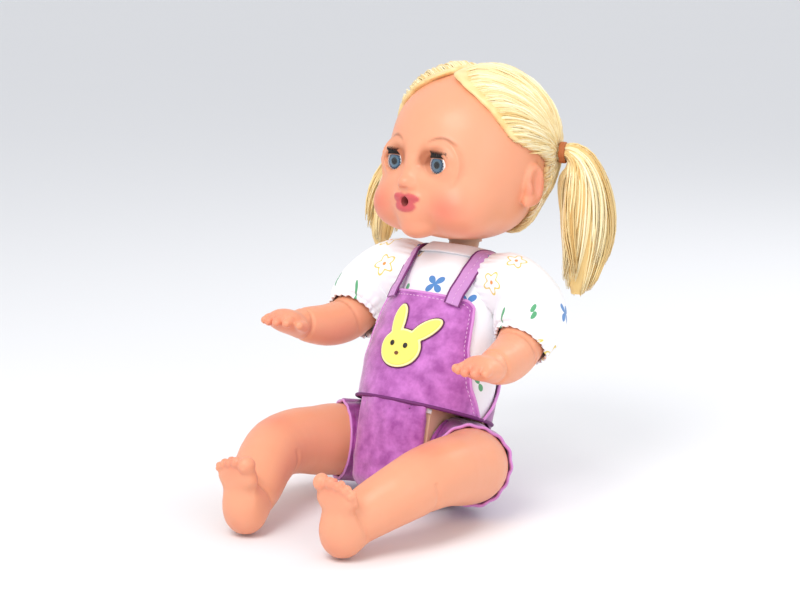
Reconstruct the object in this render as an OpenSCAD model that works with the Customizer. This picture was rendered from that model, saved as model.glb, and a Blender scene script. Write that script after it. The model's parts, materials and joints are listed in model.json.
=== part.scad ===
// Seated baby doll with sleep eyes, a sound module and a press button in the tummy.
// +Z is up, the doll faces -Y and its own left is +X. The origin is the middle of the seat face.

/* [Posture] */
// Lean of the torso back from upright, degrees
recline = 22; // [20:0.5:23]
// Turn of the head towards the doll's right at rest, degrees
head_yaw = 8; // [0:1:12]
// Swing of the left arm forward from hanging, degrees
left_swing = 22; // [20:1:26]
// Swing of the right arm forward from hanging, degrees
right_swing = 30; // [26:1:34]

/* [Body] */
// Height of the hip axis above the seat face
hip_height = 24; // [23.8:0.1:24.6]
// Distance from the hip axis to the neck joint
torso_length = 110; // [109.5:0.5:112]
// Distance from the hip axis to the shoulder axis
shoulder_height = 88; // [87:0.5:88.5]
// Wall of the torso mouldings
torso_wall = 2; // [1.8:0.1:2.2]
// Where each leg's socket face lies, from the middle
hip_face = 20; // [19.9:0.1:20.5]
// Where each arm's socket face lies, from the middle
shoulder_face = 24; // [23.9:0.1:24.5]

/* [Head] */
// Wall of the soft vinyl head
head_wall = 3; // [2.6:0.1:3.2]
// Lean of the neck axis back from upright, degrees
neck_lean = 4; // [3:0.5:6]
// Distance of each eye from the middle
eye_spread = 14.5; // [14:0.1:14.8]
// Height of the eyes above the neck joint
eye_height = 38; // [37:0.5:39]
// Radius of the mouth's hole
mouth_r = 2.75; // [2.25:0.25:3]

/* [Clothes] */
// Thickness of the shirt cloth
shirt_cloth = 1.3; // [1.1:0.1:1.4]
// Thickness of the dungaree cloth
dungaree_cloth = 1.5; // [1.3:0.1:1.6]
// Width of a shoulder strap
strap_width = 6.5; // [5.5:0.5:6.5]

/* [Electronics] */
// Travel of the tummy button
button_travel = 2; // [1.5:0.25:2]
// Radius of the tummy button
button_r = 8; // [7:0.5:8]
// Radius of the loudspeaker
speaker_r = 13; // [12:0.5:13]

/* [Hidden] */
$fn = 48;
run = 0.05;          // running clearance of a pin in its bore
far = 200;           // reach of a cutting block

// Clothes, as distances out from the torso's own surface
shirt_in = 0.4;
shirt_out = shirt_in + shirt_cloth;
dung_in = shirt_out + 0.3;
dung_out = dung_in + dungaree_cloth;
badge_in = dung_out + 0.2;
badge_out = badge_in + 1.1;
seat_cloth = 2.1;    // thickness of the cloth sat upon
seat_floor = 2.4;    // height of the torso's flat bottom over the seat face
bib_top = 75;
bib_bottom = 20.8;
back_top = 64;
collar_height = 1.2;
collar_cloth = 2.5;
leg_slack = 0.35;    // distance of the shorts' cloth from the thigh
shorts_rows = 5;     // rows of LEG that the shorts cover
// Eye opening: its size at the eye's centre, its growth outward, and how far out it reaches
eye_inner = 0.7;
eye_flare = 2.83;
eye_reach = 40;

// Torso sections: height over the hip axis, half width, half depth, shift back
TORSO = [
    [-26, 12, 11, 0], [-22, 22, 18.5, 0], [-13, 28.5, 24, 0], [-2, 31, 26.5, 0],
    [14, 32, 28.5, -1], [38, 32, 28.8, -1.5], [60, 30.5, 26, -1], [78, 28.5, 22, 0],
    [88, 27, 19.5, 0.5], [96, 22, 16.5, 0.5], [102, 14, 12.5, 0]
];
torso_foot = -26;
torso_top = 102;
// Head sections: height over the neck joint, half width, half depth, shift back
HEAD = [
    [-1, 14, 14, 2], [3, 24, 25, -2], [10, 33, 34, -4], [21, 39, 40, -4], [36, 40, 42, -2],
    [50, 39.5, 42, 0], [63, 35.5, 38, 1], [73, 27.5, 29.5, 1], [79.5, 17.5, 19, 1],
    [82.5, 9, 10, 1], [83.6, 1.2, 1.3, 1]
];
head_foot = -1;
head_top = 83.6;
EAR = [
    [37.5, 4, 19.5, 1.2, 1.5], [39.5, 3, 22.5, 2.6, 4], [40.6, 3, 29, 2.8, 6],
    [41.2, 4, 34.5, 2.8, 6.2], [40.8, 4.2, 38, 2.2, 4], [40, 4.2, 40, 0.8, 1.2]
];
// Front edge of the hair: height, and angle round from the front
HAIRLINE = [
    [4, 128], [14, 120], [30, 114], [42, 109], [47, 88], [52, 72], [58, 65], [65, 57], [72, 44], [78, 26],
    [82, 5]
];
hair_in = 0.9;
hair_out = 4.2;
tie_turn = 118;      // where the hair is tied, round from the front
tie_z = 45;
tie_out = 2.6;       // distance of the band from the hair's surface

// Limbs as points along their middle: x, y, z and two half widths
ARM = [
    [0.4, 0, 0, 11.5, 11.5], [9, 0, -0.5, 12, 12], [17, 0, -4.5, 12, 12], [22.5, -1, -12.5, 12, 12],
    [25.5, -3.5, -22, 11.5, 11.5], [27, -9.5, -31.5, 11, 11], [29, -19, -38.5, 10, 10],
    [31.5, -29, -42.5, 8.4, 8.4], [32.5, -35.5, -44.5, 7, 7.8], [33.5, -43, -46.5, 6.3, 9.8],
    [34, -49.5, -48.5, 5.5, 10], [34.2, -53, -49.7, 3.8, 8.2]
];
SLEEVE = [
    [2.6, 0, 0.2, 13.4, 13.4], [8, 0, 0, 14.2, 14.2], [16, 0, -2.5, 15, 15], [21.5, 0, -8, 16, 16],
    [25, -1.5, -16, 16.6, 16.6], [26, -4, -24, 15.4, 15.4], [26, -6.3, -28.5, 13.4, 13.4]
];
FINGERS = [[-6.6, 6], [-2.3, 9], [2.2, 8.5], [6.4, 6]];          // place across the palm, length
hip_bend = 20.5;     // radius of the bend from hip to thigh, over the thigh's own so that no ring folds
bend_start = 2.4;    // from the torso's side to the start of the bend
bend_turn = 76;      // angle the bend turns through
bend_rise = 2.6;     // rise of the thigh over the bend
LEG = concat([[1.1, 0, 0, 16.8, 16.8], [2.7, 0, 0, 16.8, 16.8]],
    [for (a = [12:16:bend_turn])
        [bend_start + hip_bend * sin(a), hip_bend * (cos(a) - 1), bend_rise * (a / bend_turn) ^ 2, 17, 17]],
    [[23.5, -24.5, 3.6, 16.5, 16.5], [25.5, -38, 6, 15.5, 15.5], [25, -53, 6, 14.5, 14.5],
    [21, -67, 2, 13.5, 13.5],
    [14.5, -80, -4, 12, 12], [11, -89, -8.5, 10.3, 10.5], [9, -95, -11, 9.5, 9.5], [8.5, -100, -12, 5, 6]
]);
FOOT = [
    [9, -95, -23.4, 5, 4], [9, -95.5, -20.5, 8.5, 7.5], [9, -96.5, -13, 9.8, 9.2], [9.2, -98, -4, 9.8, 7.6],
    [9.6, -100, 4, 10.8, 6.2], [9.9, -101, 9.5, 11.2, 5.2], [10, -101, 12.5, 8, 3.4]
];
TOES = [[-8, 4], [-2.6, 3.1], [1.9, 2.8], [5.9, 2.5], [9.3, 2.2]];   // place across the foot, radius
PONYTAIL = [
    [0, 0, 0, 4.3, 4.3], [2.6, 0, 0, 3.8, 3.8], [6.6, 0, 0.2, 5.2, 5.2], [11.6, 1, -4, 8.6, 8.6],
    [14, 2, -14, 11.5, 11.5], [15, 2, -29, 12, 12], [15, 2, -46, 11, 11], [14, 1, -61, 8, 8],
    [13, 0, -71, 3, 3]
];
// The right ponytail falls forward over the shoulder
FORWARD_TAIL = [
    [0, 0, 0, 4.3, 4.3], [2.6, 0, 0, 3.8, 3.8], [7, -0.2, 0.2, 5.2, 5.2], [12.8, -3.2, -3.4, 8, 8],
    [18.2, -9, -12.4, 10.6, 10.6], [21, -16, -25, 11.5, 11.5], [22, -21, -38, 10.5, 10.5],
    [22, -24, -49, 7, 7], [21, -25, -57, 3, 3]
];
// Line of a strap over the shoulder: height, and angle round from the front
STRAP = [[71, 33], [80, 35], [90, 42], [96.5, 57], [98.4, 90], [96.5, 123], [89, 138], [77, 144], [62, 148]];

hip_flange = 8.5;
hip_pin = 6;
hip_room = 20.5;
hip_wall = 5.5;
shoulder_flange = 7;
shoulder_pin = 5;
shoulder_room = 14.5;
shoulder_wall = 5;
flange = 2;
neck_pin = 8.5;
plug_depth = 6.6;    // how far the neck plug reaches into the torso
hip = [0, 0, hip_height];
shoulder = hip + shoulder_height * [0, sin(recline), cos(recline)];
neck = hip + torso_length * [0, sin(recline), cos(recline)];

eye_r = 8.6;
lid_r = 9.1;
socket_r = 9.4;
eye = [eye_spread, -30.6, eye_height];
eye_w = 6.6;         // half width of the eye's opening
eye_up = 5.8;
eye_down = 4.4;
lid_edge = 22;       // how far the open lid's edge stands above level, degrees
lash_length = 2.9;
lash_lift = 2.4;     // roots above the open lid's edge, degrees
lash_droop = 1.2;    // fall of the roots towards the eye's corners, degrees
iris_r = 4.35;
mouth_height = 19.5;
mouth_depth = 12;

board_y = -5;        // front face of the circuit board, in the torso
button_z = 44;       // height of the button up the torso
button_floor = -21;
spring_length = 4.7;
speaker_z = 72;
battery_z = 54;
cover_screw_z = battery_z - 8;
badge_z = 45.5;      // height of the badge's face up the torso
switch_z = 16;
knob_offset = 1.8;
POSTS = [[17, 62], [-17, 62], [13, -12], [-13, -12]];            // screw posts: x and height
BOARD_FIXINGS = [30, 58];

// ---- frames ----
module on_torso() { translate(hip) rotate([-recline, 0, 0]) children(); }
module on_neck() { translate(neck) rotate([-neck_lean, 0, 0]) rotate([0, 0, -head_yaw]) children(); }
module on_side(side) { mirror([side < 0 ? 1 : 0, 0, 0]) children(); }
module on_eye(side) { on_neck() on_side(side) translate(eye) children(); }
module on_arm(side) {
    on_side(side) translate(shoulder) rotate([side > 0 ? -left_swing : -right_swing, 0, 0]) children();
}
module on_leg(side) { on_side(side) translate(hip) children(); }
module on_tie(side) {
    on_neck() on_side(side) translate(on_skin(HEAD, tie_z, tie_turn, hair_out + 0.15))
        rotate([0, 0, 27]) children();
}
module along_x(x0, x1, r) { translate([x0, 0, 0]) rotate([0, 90, 0]) cylinder(h = x1 - x0, r = r); }
module along_y(y0, y1, r) { translate([0, y1, 0]) rotate([90, 0, 0]) cylinder(h = y1 - y0, r = r); }
module block(lo, hi) { translate(lo) cube(hi - lo); }

// ---- smooth sections ----
function unit(v) = v / norm(v);
function gap_at(tab, z, i = 0) = i >= len(tab) - 2 || tab[i + 1][0] > z ? i : gap_at(tab, z, i + 1);
function slope(tab, i, k) =
    let (lo = max(i - 1, 0), hi = min(i + 1, len(tab) - 1))
    (tab[hi][k] - tab[lo][k]) / (tab[hi][0] - tab[lo][0]);
function smooth(tab, z, k) =
    let (i = gap_at(tab, z), h = tab[i + 1][0] - tab[i][0], t = (z - tab[i][0]) / h)
    (2 * t ^ 3 - 3 * t ^ 2 + 1) * tab[i][k] + (t ^ 3 - 2 * t ^ 2 + t) * h * slope(tab, i, k)
    + (3 * t ^ 2 - 2 * t ^ 3) * tab[i + 1][k] + (t ^ 3 - t ^ 2) * h * slope(tab, i + 1, k);

// A point on a sectioned body: height, angle round from the front towards +X, distance out
function on_skin(tab, z, turn, out = 0) =
    let (
        lo = max(z - 0.2, tab[0][0]), hi = min(z + 0.2, tab[len(tab) - 1][0]),
        a = smooth(tab, z, 1), b = smooth(tab, z, 2),
        rise = (smooth(tab, hi, 1) - smooth(tab, lo, 1)) / (hi - lo),
        normal = unit([b * sin(turn), -a * cos(turn), -rise * (a + b) / 2])
    )
    [a * sin(turn), smooth(tab, z, 3) - b * cos(turn), z] + out * normal;

function level(z0, z1, s, eased) = z0 + (z1 - z0) * (eased ? sin(90 * s) : s);

// A closed body through rings of points, each ring clockwise seen from the last ring's end
module rings(r) {
    n = len(r[0]);
    m = len(r);
    top = (m - 1) * n;
    walls = [for (i = [0:m - 2], j = [0:n - 1]) let (k = (j + 1) % n, a = i * n, b = a + n) each
        [[a + j, a + k, b + k], [a + j, b + k, b + j]]];
    caps = [for (j = [0:n / 2 - 2]) let (k = n - 1 - j, a = top + j, b = top + k) each
        [[j, k, j + 1], [j + 1, k, k - 1], [a, a + 1, b], [a + 1, b - 1, b]]];
    polyhedron([for (ring = r) each ring], concat(walls, caps));
}

// A closed tube between outer rings and inner rings
module tube_rings(outer, inner) {
    n = len(outer[0]);
    m = len(outer);
    start = m * n;
    walls = [for (i = [0:m - 2], j = [0:n - 1])
        let (k = (j + 1) % n, a = i * n, b = a + n, c = start + a, d = c + n) each [
            [a + j, a + k, b + k], [a + j, b + k, b + j],
            [c + j, d + k, c + k], [c + j, d + j, d + k]]];
    top = (m - 1) * n;
    ends = [for (j = [0:n - 1]) let (k = (j + 1) % n) each [
        [j, start + k, k], [j, start + j, start + k],
        [top + j, top + k, start + top + k], [top + j, start + top + k, start + top + j]]];
    polyhedron(concat([for (ring = outer) each ring], [for (ring = inner) each ring]), concat(walls, ends));
}

// A solid body from z0 to z1, grown outward by out
module skin_body(tab, z0, z1, out, steps, sides, eased = false) {
    rings([for (i = [0:steps]) let (z = level(z0, z1, i / steps, eased))
        [for (j = [0:sides - 1]) on_skin(tab, z, -360 * j / sides, out)]]);
}

// A panel between two distances out, from the first to the last angle given for each height
module panel(tab, z0, z1, edges, out0, out1, steps, sides, eased = false) {
    rings([for (i = [0:steps]) let (z = level(z0, z1, i / steps, eased), e = edges(z))
        concat([for (j = [0:sides]) on_skin(tab, z, e[1] + (e[0] - e[1]) * j / sides, out1)],
               [for (j = [0:sides]) on_skin(tab, z, e[0] + (e[1] - e[0]) * j / sides, out0)])]);
}

// A point on a smooth curve through the rows of a path
function along(path, s) =
    let (n = len(path) - 1, i = min(floor(s), n - 1), t = s - i,
        a = path[max(i - 1, 0)], b = path[i], c = path[i + 1], d = path[min(i + 2, n)])
    0.5 * (2 * b + (c - a) * t + (2 * a - 5 * b + 4 * c - d) * t ^ 2 + (3 * b - a - 3 * c + d) * t ^ 3);
function place(v) = [v[0], v[1], v[2]];

// Rings along a path, the first half width lying along first at the start
function sweep(path, steps, sides, first, grow = 0, rows = undef) =
    let (
        last = is_undef(rows) ? len(path) - 1 : rows,
        p = [for (i = [0:steps]) along(path, last * i / steps)],
        ahead = [for (i = [0:steps]) unit(place(p[min(i + 1, steps)] - p[max(i - 1, 0)]))],
        across = [for (i = 0, u = unit(first - (first * ahead[0]) * ahead[0]); i <= steps;
            i = i + 1, u = i > steps ? u : unit(u - (u * ahead[i]) * ahead[i])) u]
    )
    [for (i = [0:steps]) let (u = across[i], w = cross(ahead[i], u))
        [for (j = [0:sides - 1]) let (g = -360 * j / sides)
            place(p[i]) + (p[i][3] + grow) * cos(g) * u + (p[i][4] + grow) * sin(g) * w]];

// A round-ended finger
module digit(a, b, r) {
    d = unit(b - a) * r;
    ball = [[0, 1], [0.5, 0.87], [0.85, 0.53], [0.98, 0.2]];
    rows = concat([concat(a, [r, r])], [for (q = ball) concat(b + q[0] * d, [r * q[1], r * q[1]])]);
    rings(sweep(rows, len(rows) - 1, 8, [1, 0, 0]));
}

// Space each leg swings through, as seen in the torso
module leg_room(x0, r) {
    for (side = [-1, 1]) on_torso() on_side(side) {
        along_x(x0, far, r);
        block([x0, -far, -far], [far, 0, r]);
        block([x0, -far, -far], [far, r, 0]);
    }
}

module arm_room(x0, r) { for (side = [-1, 1]) on_arm(side) along_x(x0, far, r); }
module above(z) { block([-far, -far, z], [far, far, far]); }

// ---- torso mouldings ----
module torso_cavity() {
    difference() {
        on_torso() skin_body(TORSO, torso_foot + 2, torso_top - 2.5, -torso_wall, 14, 22);
        block([-far, -far, -far], [far, far, seat_floor + torso_wall]);
        leg_room(hip_face - torso_wall, hip_room + torso_wall);
        arm_room(shoulder_face - torso_wall, shoulder_room + torso_wall);
        arm_room(shoulder_face - shoulder_wall, 9.5);
        for (side = [-1, 1]) on_leg(side) along_x(hip_face - hip_wall, far, 11);
        on_torso() {
            for (p = POSTS) translate([p[0], 0, p[1]]) along_y(-far, far, 3);
            for (x = [-10, 10], z = BOARD_FIXINGS) translate([x, 0, z]) along_y(-far, board_y, 2);
            translate([0, 0, speaker_z]) difference() {
                along_y(-far, -13, speaker_r + 1.8);
                along_y(-far, far, speaker_r + 0.1);
            }
            translate([0, 0, button_z]) along_y(-far, button_floor + 2, button_r + 2);
            translate([0, 0, switch_z]) block([-9, 20, -4.5], [9, far, 4.5]);
        }
    }
}

module torso_moulding(y0, y1) {
    difference() {
        intersection() {
            on_torso() skin_body(TORSO, torso_foot, torso_top, 0, 18, 28);
            above(seat_floor);
            on_torso() block([-far, y0, -far], [far, y1, far]);
        }
        torso_cavity();
        leg_room(hip_face, hip_room);
        arm_room(shoulder_face, shoulder_room);
        arm_room(shoulder_face - shoulder_wall - 1, shoulder_pin + run);
        for (side = [-1, 1]) on_leg(side) along_x(hip_face - hip_wall - 1, far, hip_pin + run);
        on_torso() translate([0, 0, torso_top - 7]) cylinder(h = 12, r = neck_pin - 1 + run);
    }
}

module torso_front() {
    color("peachpuff") difference() {
        torso_moulding(-far, 0);
        on_torso() {
            translate([0, 0, button_z]) {
                along_y(-far, button_floor, button_r + run);
                along_y(-far, 0, 3 + run);
            }
            for (i = [0:6]) translate([0, 0, speaker_z])
                rotate([0, 60 * i, 0]) translate([i == 0 ? 0 : 6, 0, 0]) along_y(-far, -14, 1.2);
            for (p = POSTS) translate([p[0], 0, p[1]]) along_y(-10, 1, 0.95);
        }
    }
}

module torso_back() {
    color("peachpuff") difference() {
        torso_moulding(0.02, far);
        on_torso() {
            translate([0, 0, battery_z]) block([-13, 8, -10], [13, far, 10]);
            translate([0, 0, switch_z]) block([-4, 6, -2], [4, far, 2]);
            for (p = POSTS) translate([p[0], 0, p[1]]) {
                along_y(-1, far, 1.25);
                along_y(6, far, 2.3);
            }
        }
    }
}

module neck_plug() {
    color("bisque") difference() {
        union() {
            on_torso() {
                translate([0, 0, torso_top - plug_depth])
                    cylinder(h = torso_length - torso_top + plug_depth, r = neck_pin - 1);
                translate([0, 0, torso_top - plug_depth]) cylinder(h = flange, r = neck_pin + 1);
            }
            on_neck() {
                translate([0, 0, -1.5]) cylinder(h = 7.5, r = neck_pin);
                translate([0, 0, 5.1]) cylinder(h = 2, r1 = neck_pin + 2.5, r2 = neck_pin + 1.5);
            }
        }
        on_neck() translate([0, 0, -2]) cylinder(h = 12, r = 4);
    }
}

module torso_screws() {
    color("silver") on_torso() for (p = POSTS) translate([p[0], 0, p[1]]) {
        along_y(-8, 6.1, 0.9);
        difference() {
            along_y(6.02, 7.6, 2.1);
            block([-1.5, 7, -0.3], [1.5, far, 0.3]);
            block([-0.3, 7, -1.5], [0.3, far, 1.5]);
        }
    }
}

// ---- electronics ----
module circuit_board() {
    color("seagreen") on_torso() difference() {
        block([-12, board_y + 0.02, 28], [12, board_y + 1.2, 60]);
        for (x = [-10, 10], z = BOARD_FIXINGS) translate([x, 0, z]) along_y(-far, far, 0.8);
    }
}

module sound_chip() {
    color("black") on_torso() translate([3, board_y + 1.22, 53]) intersection() {
        translate([0, -3.5, 0]) sphere(r = 5.5);
        block([-6, 0, -6], [6, 6, 6]);
    }
}

module tact_switch() {
    color("dimgray") on_torso() translate([0, 0, button_z]) {
        block([-3, board_y - 3.5, -3], [3, board_y, 3]);
        along_y(board_y - 5, board_y - 3.4, 1.7);
    }
}

module speaker_frame() {
    color("silver") on_torso() translate([0, 0, speaker_z]) rotate([90, 0, 0]) rotate_extrude() polygon([
        [4.7, 8.3], [8.6, 8.3], [speaker_r - 0.8, 12.2], [speaker_r, 12.2], [speaker_r, 13.8],
        [speaker_r - 1.6, 13.8], [speaker_r - 1.8, 12.6], [8, 9.3], [4.7, 9.3]]);
}

module speaker_cone() {
    color("#33333a") on_torso() translate([0, 0, speaker_z]) rotate([90, 0, 0]) rotate_extrude()
        polygon([[0, 11.4], [4.6, 11], [speaker_r - 2.2, 13.3], [speaker_r - 2.2, 13.6],
            [4.6, 11.4], [0, 12]]);
}

module speaker_magnet() {
    color("gray") on_torso() translate([0, 0, speaker_z]) rotate([90, 0, 0]) {
        translate([0, 0, 4.2]) cylinder(h = 4.05, r = 7.5);
        translate([0, 0, 8]) cylinder(h = 2.6, r = 4.5);
    }
}

module battery_box() {
    color("ivory") on_torso() translate([0, 0, battery_z]) difference() {
        block([-12.9, 4, -9.9], [12.9, 19.8, 9.9]);
        block([-11.5, 5.4, -6.6], [11.5, far, 6.6]);
        translate([0, 0, cover_screw_z - battery_z]) along_y(8, far, 0.9);
    }
}

module battery_cells() {
    color("lightsteelblue") on_torso() translate([0, 11.6, battery_z])
        for (i = [-1:1]) along_x(i * 5.5 - 2.7, i * 5.5 + 2.7, 5.8);
}

module battery_contacts() {
    color("gold") on_torso() translate([0, 0, battery_z]) {
        block([8.4, 7, -4], [8.8, 16, 4]);
        block([-11.4, 7, -4], [-11, 16, 4]);
        translate([-8.3, 11.6, 0]) rotate([0, -90, 0]) cylinder(h = 2.6, r1 = 2, r2 = 3.4);
    }
}

module battery_cover() {
    half = asin(12.8 / 31.2);
    color("peachpuff") on_torso() difference() {
        panel(TORSO, battery_z - 9.8, battery_z + 9.8, function (z) [180 - half, 180 + half], -1.9, 0, 6, 8);
        translate([0, 0, cover_screw_z]) {
            along_y(8, far, 1.1);
            along_y(24.4, far, 1.65);
        }
        translate([0, 0, battery_z + 6]) block([-4, 24.6, 0], [4, far, 1]);
    }
}

module cover_screw() {
    color("silver") on_torso() translate([0, 0, cover_screw_z]) {
        along_y(14, 24.6, 0.85);
        difference() {
            along_y(24.45, 25.6, 1.5);
            block([-1.1, 25.1, -0.25], [1.1, far, 0.25]);
            block([-0.25, 25.1, -1.1], [0.25, far, 1.1]);
        }
    }
}

module slide_switch() {
    color("dimgray") on_torso() translate([0, 0, switch_z]) difference() {
        block([-7, 13, -3.2], [7, 19.98, 3.2]);
        block([-4.1, 17, -1.8], [4.1, far, 1.8]);
    }
}

module switch_knob() {
    color("black") on_torso() translate([-knob_offset, 0, switch_z]) block([-2, 17.2, -1.5], [2, 26.2, 1.5]);
}

// One lead on a smooth line through its points
module lead(points, r) {
    rings(sweep([for (p = points) concat(p, [r, r])], 9, 6, [0, 0.1, 1]));
}

module lead_wires() {
    color("crimson") on_torso() {
        lead([[9.5, 3.2, 53], [12.5, 2.4, 58], [11.5, -0.5, 62], [9, -3.1, 58.9]], 0.6);
        lead([[-9.5, 3.2, 53], [-13, 2.4, 50], [-13.5, -0.5, 45], [-9, -3.1, 42]], 0.6);
        for (x = [-3, 3]) lead([[x, -3.1, 58], [x, -2.6, 62], [x, -2.8, 68], [x, -3.5, 72]], 0.5);
    }
}

module tummy_button() {
    color("white") on_torso() translate([0, 0, button_z]) {
        difference() {
            along_y(-28.3, -25, button_r);
            along_y(-26.6, -20, button_r - 1.2);
        }
        along_y(-27, board_y - 5.1 - button_travel, 3);
        along_y(button_floor + 2.1, button_floor + 3.4, 4.4);
    }
}

module button_spring() {
    turns = 3.5;
    color("silver") on_torso() translate([0, 0, button_z]) rotate([90, 0, 0])
        rings(sweep([for (i = [0:42]) let (g = 360 * turns * i / 42)
            [5 * cos(g), 5 * sin(g), 0.45 - button_floor + spring_length * i / 42, 0.35, 0.35]],
            42, 6, [1, 0, 0.2]));
}

// ---- head ----
function arc_r(w, h) = (w ^ 2 + h ^ 2) / (2 * h);
module eye_opening() {
    up = arc_r(eye_w, eye_up);
    down = arc_r(eye_w, eye_down);
    rotate([90, 0, 0]) linear_extrude(eye_reach, scale = eye_flare) scale(eye_inner) intersection() {
        translate([0, eye_up - up]) circle(r = up);
        translate([0, down - eye_down]) circle(r = down);
    }
}

module head_cavity() {
    difference() {
        skin_body(HEAD, 3.5, head_top - 2.5, -head_wall, 12, 22, true);
        for (side = [-1, 1]) on_side(side) translate(eye) along_y(-far, 2, 12.5);
        translate([0, 0, mouth_height]) along_y(-far, -28, 6);
        cylinder(h = 5, r = neck_pin + 6);
    }
}

module head_shell() {
    color("#f0b490") on_neck() difference() {
        union() {
            skin_body(HEAD, head_foot, head_top, 0, 20, 32, true);
            for (side = [-1, 1]) on_side(side) rings(sweep(EAR, 10, 12, [1, 0, 0]));
            translate([0, -43, 28.5]) sphere(r = 3.9);
        }
        head_cavity();
        for (side = [-1, 1]) on_side(side) translate(eye) {
            along_y(-4, 30, 10.9);
            sphere(r = socket_r);
            eye_opening();
        }
        translate([0, 0, mouth_height]) along_y(-far, -20, 4.05);
        translate([0, 0, -3]) cylinder(h = 10, r = neck_pin + run);
        translate([0, 0, 5]) cylinder(h = 3, r = neck_pin + 3);
    }
}

module mouth_cup() {
    color("lightpink") on_neck() translate([0, 0, mouth_height]) difference() {
        along_y(-43.5, -42 + mouth_depth, 4);
        along_y(-far, -43.5 + mouth_depth, mouth_r);
    }
}

module eye_socket(side) {
    color("ivory") on_eye(side) difference() {
        along_y(-3.95, 7, 10.85);
        along_y(-far, far, socket_r);
        along_x(-far, far, 1 + run);
    }
}

module eyeball(side) {
    color("white") on_eye(side) difference() {
        union() {
            sphere(r = eye_r);
            along_x(-10.4, 10.4, 1);
        }
        along_y(-20, -6.6, iris_r + 0.05);
        rotate([12, 0, 0]) translate([0, 0, -6.4]) cylinder(h = 4.2, r = 3);
    }
}

module iris(side) { color("#3f7fae") on_eye(side) along_y(-7.1, -6.62, iris_r); }

module cornea(side) {
    color("#bcd6e6") on_eye(side) intersection() {
        sphere(r = eye_r);
        along_y(-20, -7.12, iris_r);
    }
}

module eyelid(side) {
    color("#f0b490") on_eye(side) difference() {
        sphere(r = lid_r);
        sphere(r = eye_r + 0.02);
        rotate([-lid_edge, 0, 0]) block([-far, -far, -far], [far, far, 0]);
        rotate([-10, 0, 0]) block([-far, 0, -far], [far, far, far]);
        along_x(-far, far, 1.6);
    }
}

// A fan of lashes out from the lid's edge, curling up
module lashes(side) {
    color("#20140f") on_eye(side) rings([for (i = [0:4]) let (r = lid_r + 0.05 + lash_length * i / 4)
        [for (j = [0:17]) let (top = j < 9, s = (top ? 4 - j : j - 13) / 4,
            e = lid_edge + lash_lift - lash_droop * s ^ 2 + (top ? 0.9 : -0.3), spread = 20 * s)
            r * [sin(spread) * cos(e), -cos(spread) * cos(e), sin(e)]]]);
}

module eye_weight(side) {
    color("gray") on_eye(side) rotate([12, 0, 0]) translate([0, 0, -6.3]) cylinder(h = 4, r = 2.95);
}

module hair_crown() {
    color("#f2dc9c") on_neck() panel(HEAD, 4, head_top,
        function (z) let (e = lookup(z, HAIRLINE)) [e, 360 - e], hair_in, hair_out, 22, 22, true);
}

module ponytail(side) {
    color("#f2dc9c") on_tie(side) rings(sweep(side > 0 ? PONYTAIL : FORWARD_TAIL, 22, 14, [0, 1, 0]));
}

module hair_tie(side) {
    color("orange") on_tie(side) translate([tie_out, 0, 0]) rotate([0, 90, 0])
        rotate_extrude() translate([5.75, 0]) circle(r = 1.2);
}

// ---- limbs ----
module arm(side) {
    tip = ARM[len(ARM) - 2];
    color("#f0b490") on_arm(side) translate([shoulder_face, 0, 0]) {
        rings(sweep(ARM, 24, 16, [0, 1, 0]));
        along_x(-shoulder_wall - 0.1 - flange, -shoulder_wall - 0.1, shoulder_flange);
        along_x(-shoulder_wall - 0.2, 4, shoulder_pin);
        for (f = FINGERS)
            let (a = [tip[0] + f[0], tip[1], tip[2] - 0.4]) digit(a, a + f[1] * [0, -0.92, -0.39], 2.5);
        digit([26.5, -41, -47], [22, -47.5, -49.5], 2.8);
    }
}

module leg(side) {
    sole = FOOT[len(FOOT) - 2];
    color("#f0b490") on_leg(side) translate([hip_face, 0, 0]) {
        rings(sweep(LEG, 28, 18, [0, 0, 1]));
        rings(sweep(FOOT, 12, 16, [1, 0, 0]));
        along_x(-hip_wall - 0.1 - flange, -hip_wall - 0.1, hip_flange);
        along_x(-hip_wall - 0.2, 4, hip_pin);
        for (t = TOES) translate([sole[0] + t[0], sole[1] - 0.5, sole[2] + t[1] * 0.9 - abs(t[0] + 3) / 4])
            sphere(r = t[1]);
    }
}

// ---- clothes ----
module sleeve(side) {
    color("white") on_arm(side) translate([shoulder_face, 0, 0])
        tube_rings(sweep(SLEEVE, 14, 20, [0, 1, 0]), sweep(SLEEVE, 14, 20, [0, 1, 0], -shirt_cloth));
}

module shorts_leg(side) {
    color("mediumorchid") on_leg(side) translate([hip_face, 0, 0])
        tube_rings(
            sweep(LEG, 2 * shorts_rows, 18, [0, 0, 1], leg_slack + dungaree_cloth, shorts_rows),
            sweep(LEG, 2 * shorts_rows, 18, [0, 0, 1], leg_slack, shorts_rows));
}

module shirt_body() {
    color("white") difference() {
        on_torso() panel(TORSO, 8, torso_top - 3, function (z) [-176, 176], shirt_in, shirt_out, 12, 26);
        leg_room(hip_face - 0.1, hip_room);
        arm_room(shoulder_face - 8, shoulder_room + 0.5);
    }
}

module shirt_collar() {
    color("white") on_torso()
        panel(TORSO, torso_top - collar_height, torso_top, function (z) [-172, 172],
            shirt_in, shirt_in + collar_cloth, 3, 24);
}

module dungaree_shorts() {
    color("mediumorchid") difference() {
        on_torso() skin_body(TORSO, torso_foot, 20.4, dung_out, 12, 26);
        difference() {
            on_torso() skin_body(TORSO, torso_foot, 24, dung_in, 10, 26);
            block([-far, -far, -far], [far, far, seat_cloth]);
        }
        block([-far, -far, -far], [far, far, 0]);
        leg_room(hip_face - 0.3, hip_room);
    }
}

function bib_edge(z) = lookup(z, [[20, 86], [34, 68], [52, 58], [76, 54]]);
module dungaree_bib() {
    color("mediumorchid") on_torso()
        panel(TORSO, bib_bottom, bib_top, function (z) [-bib_edge(z), bib_edge(z)],
            dung_in, dung_out, 11, 18);
}

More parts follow.
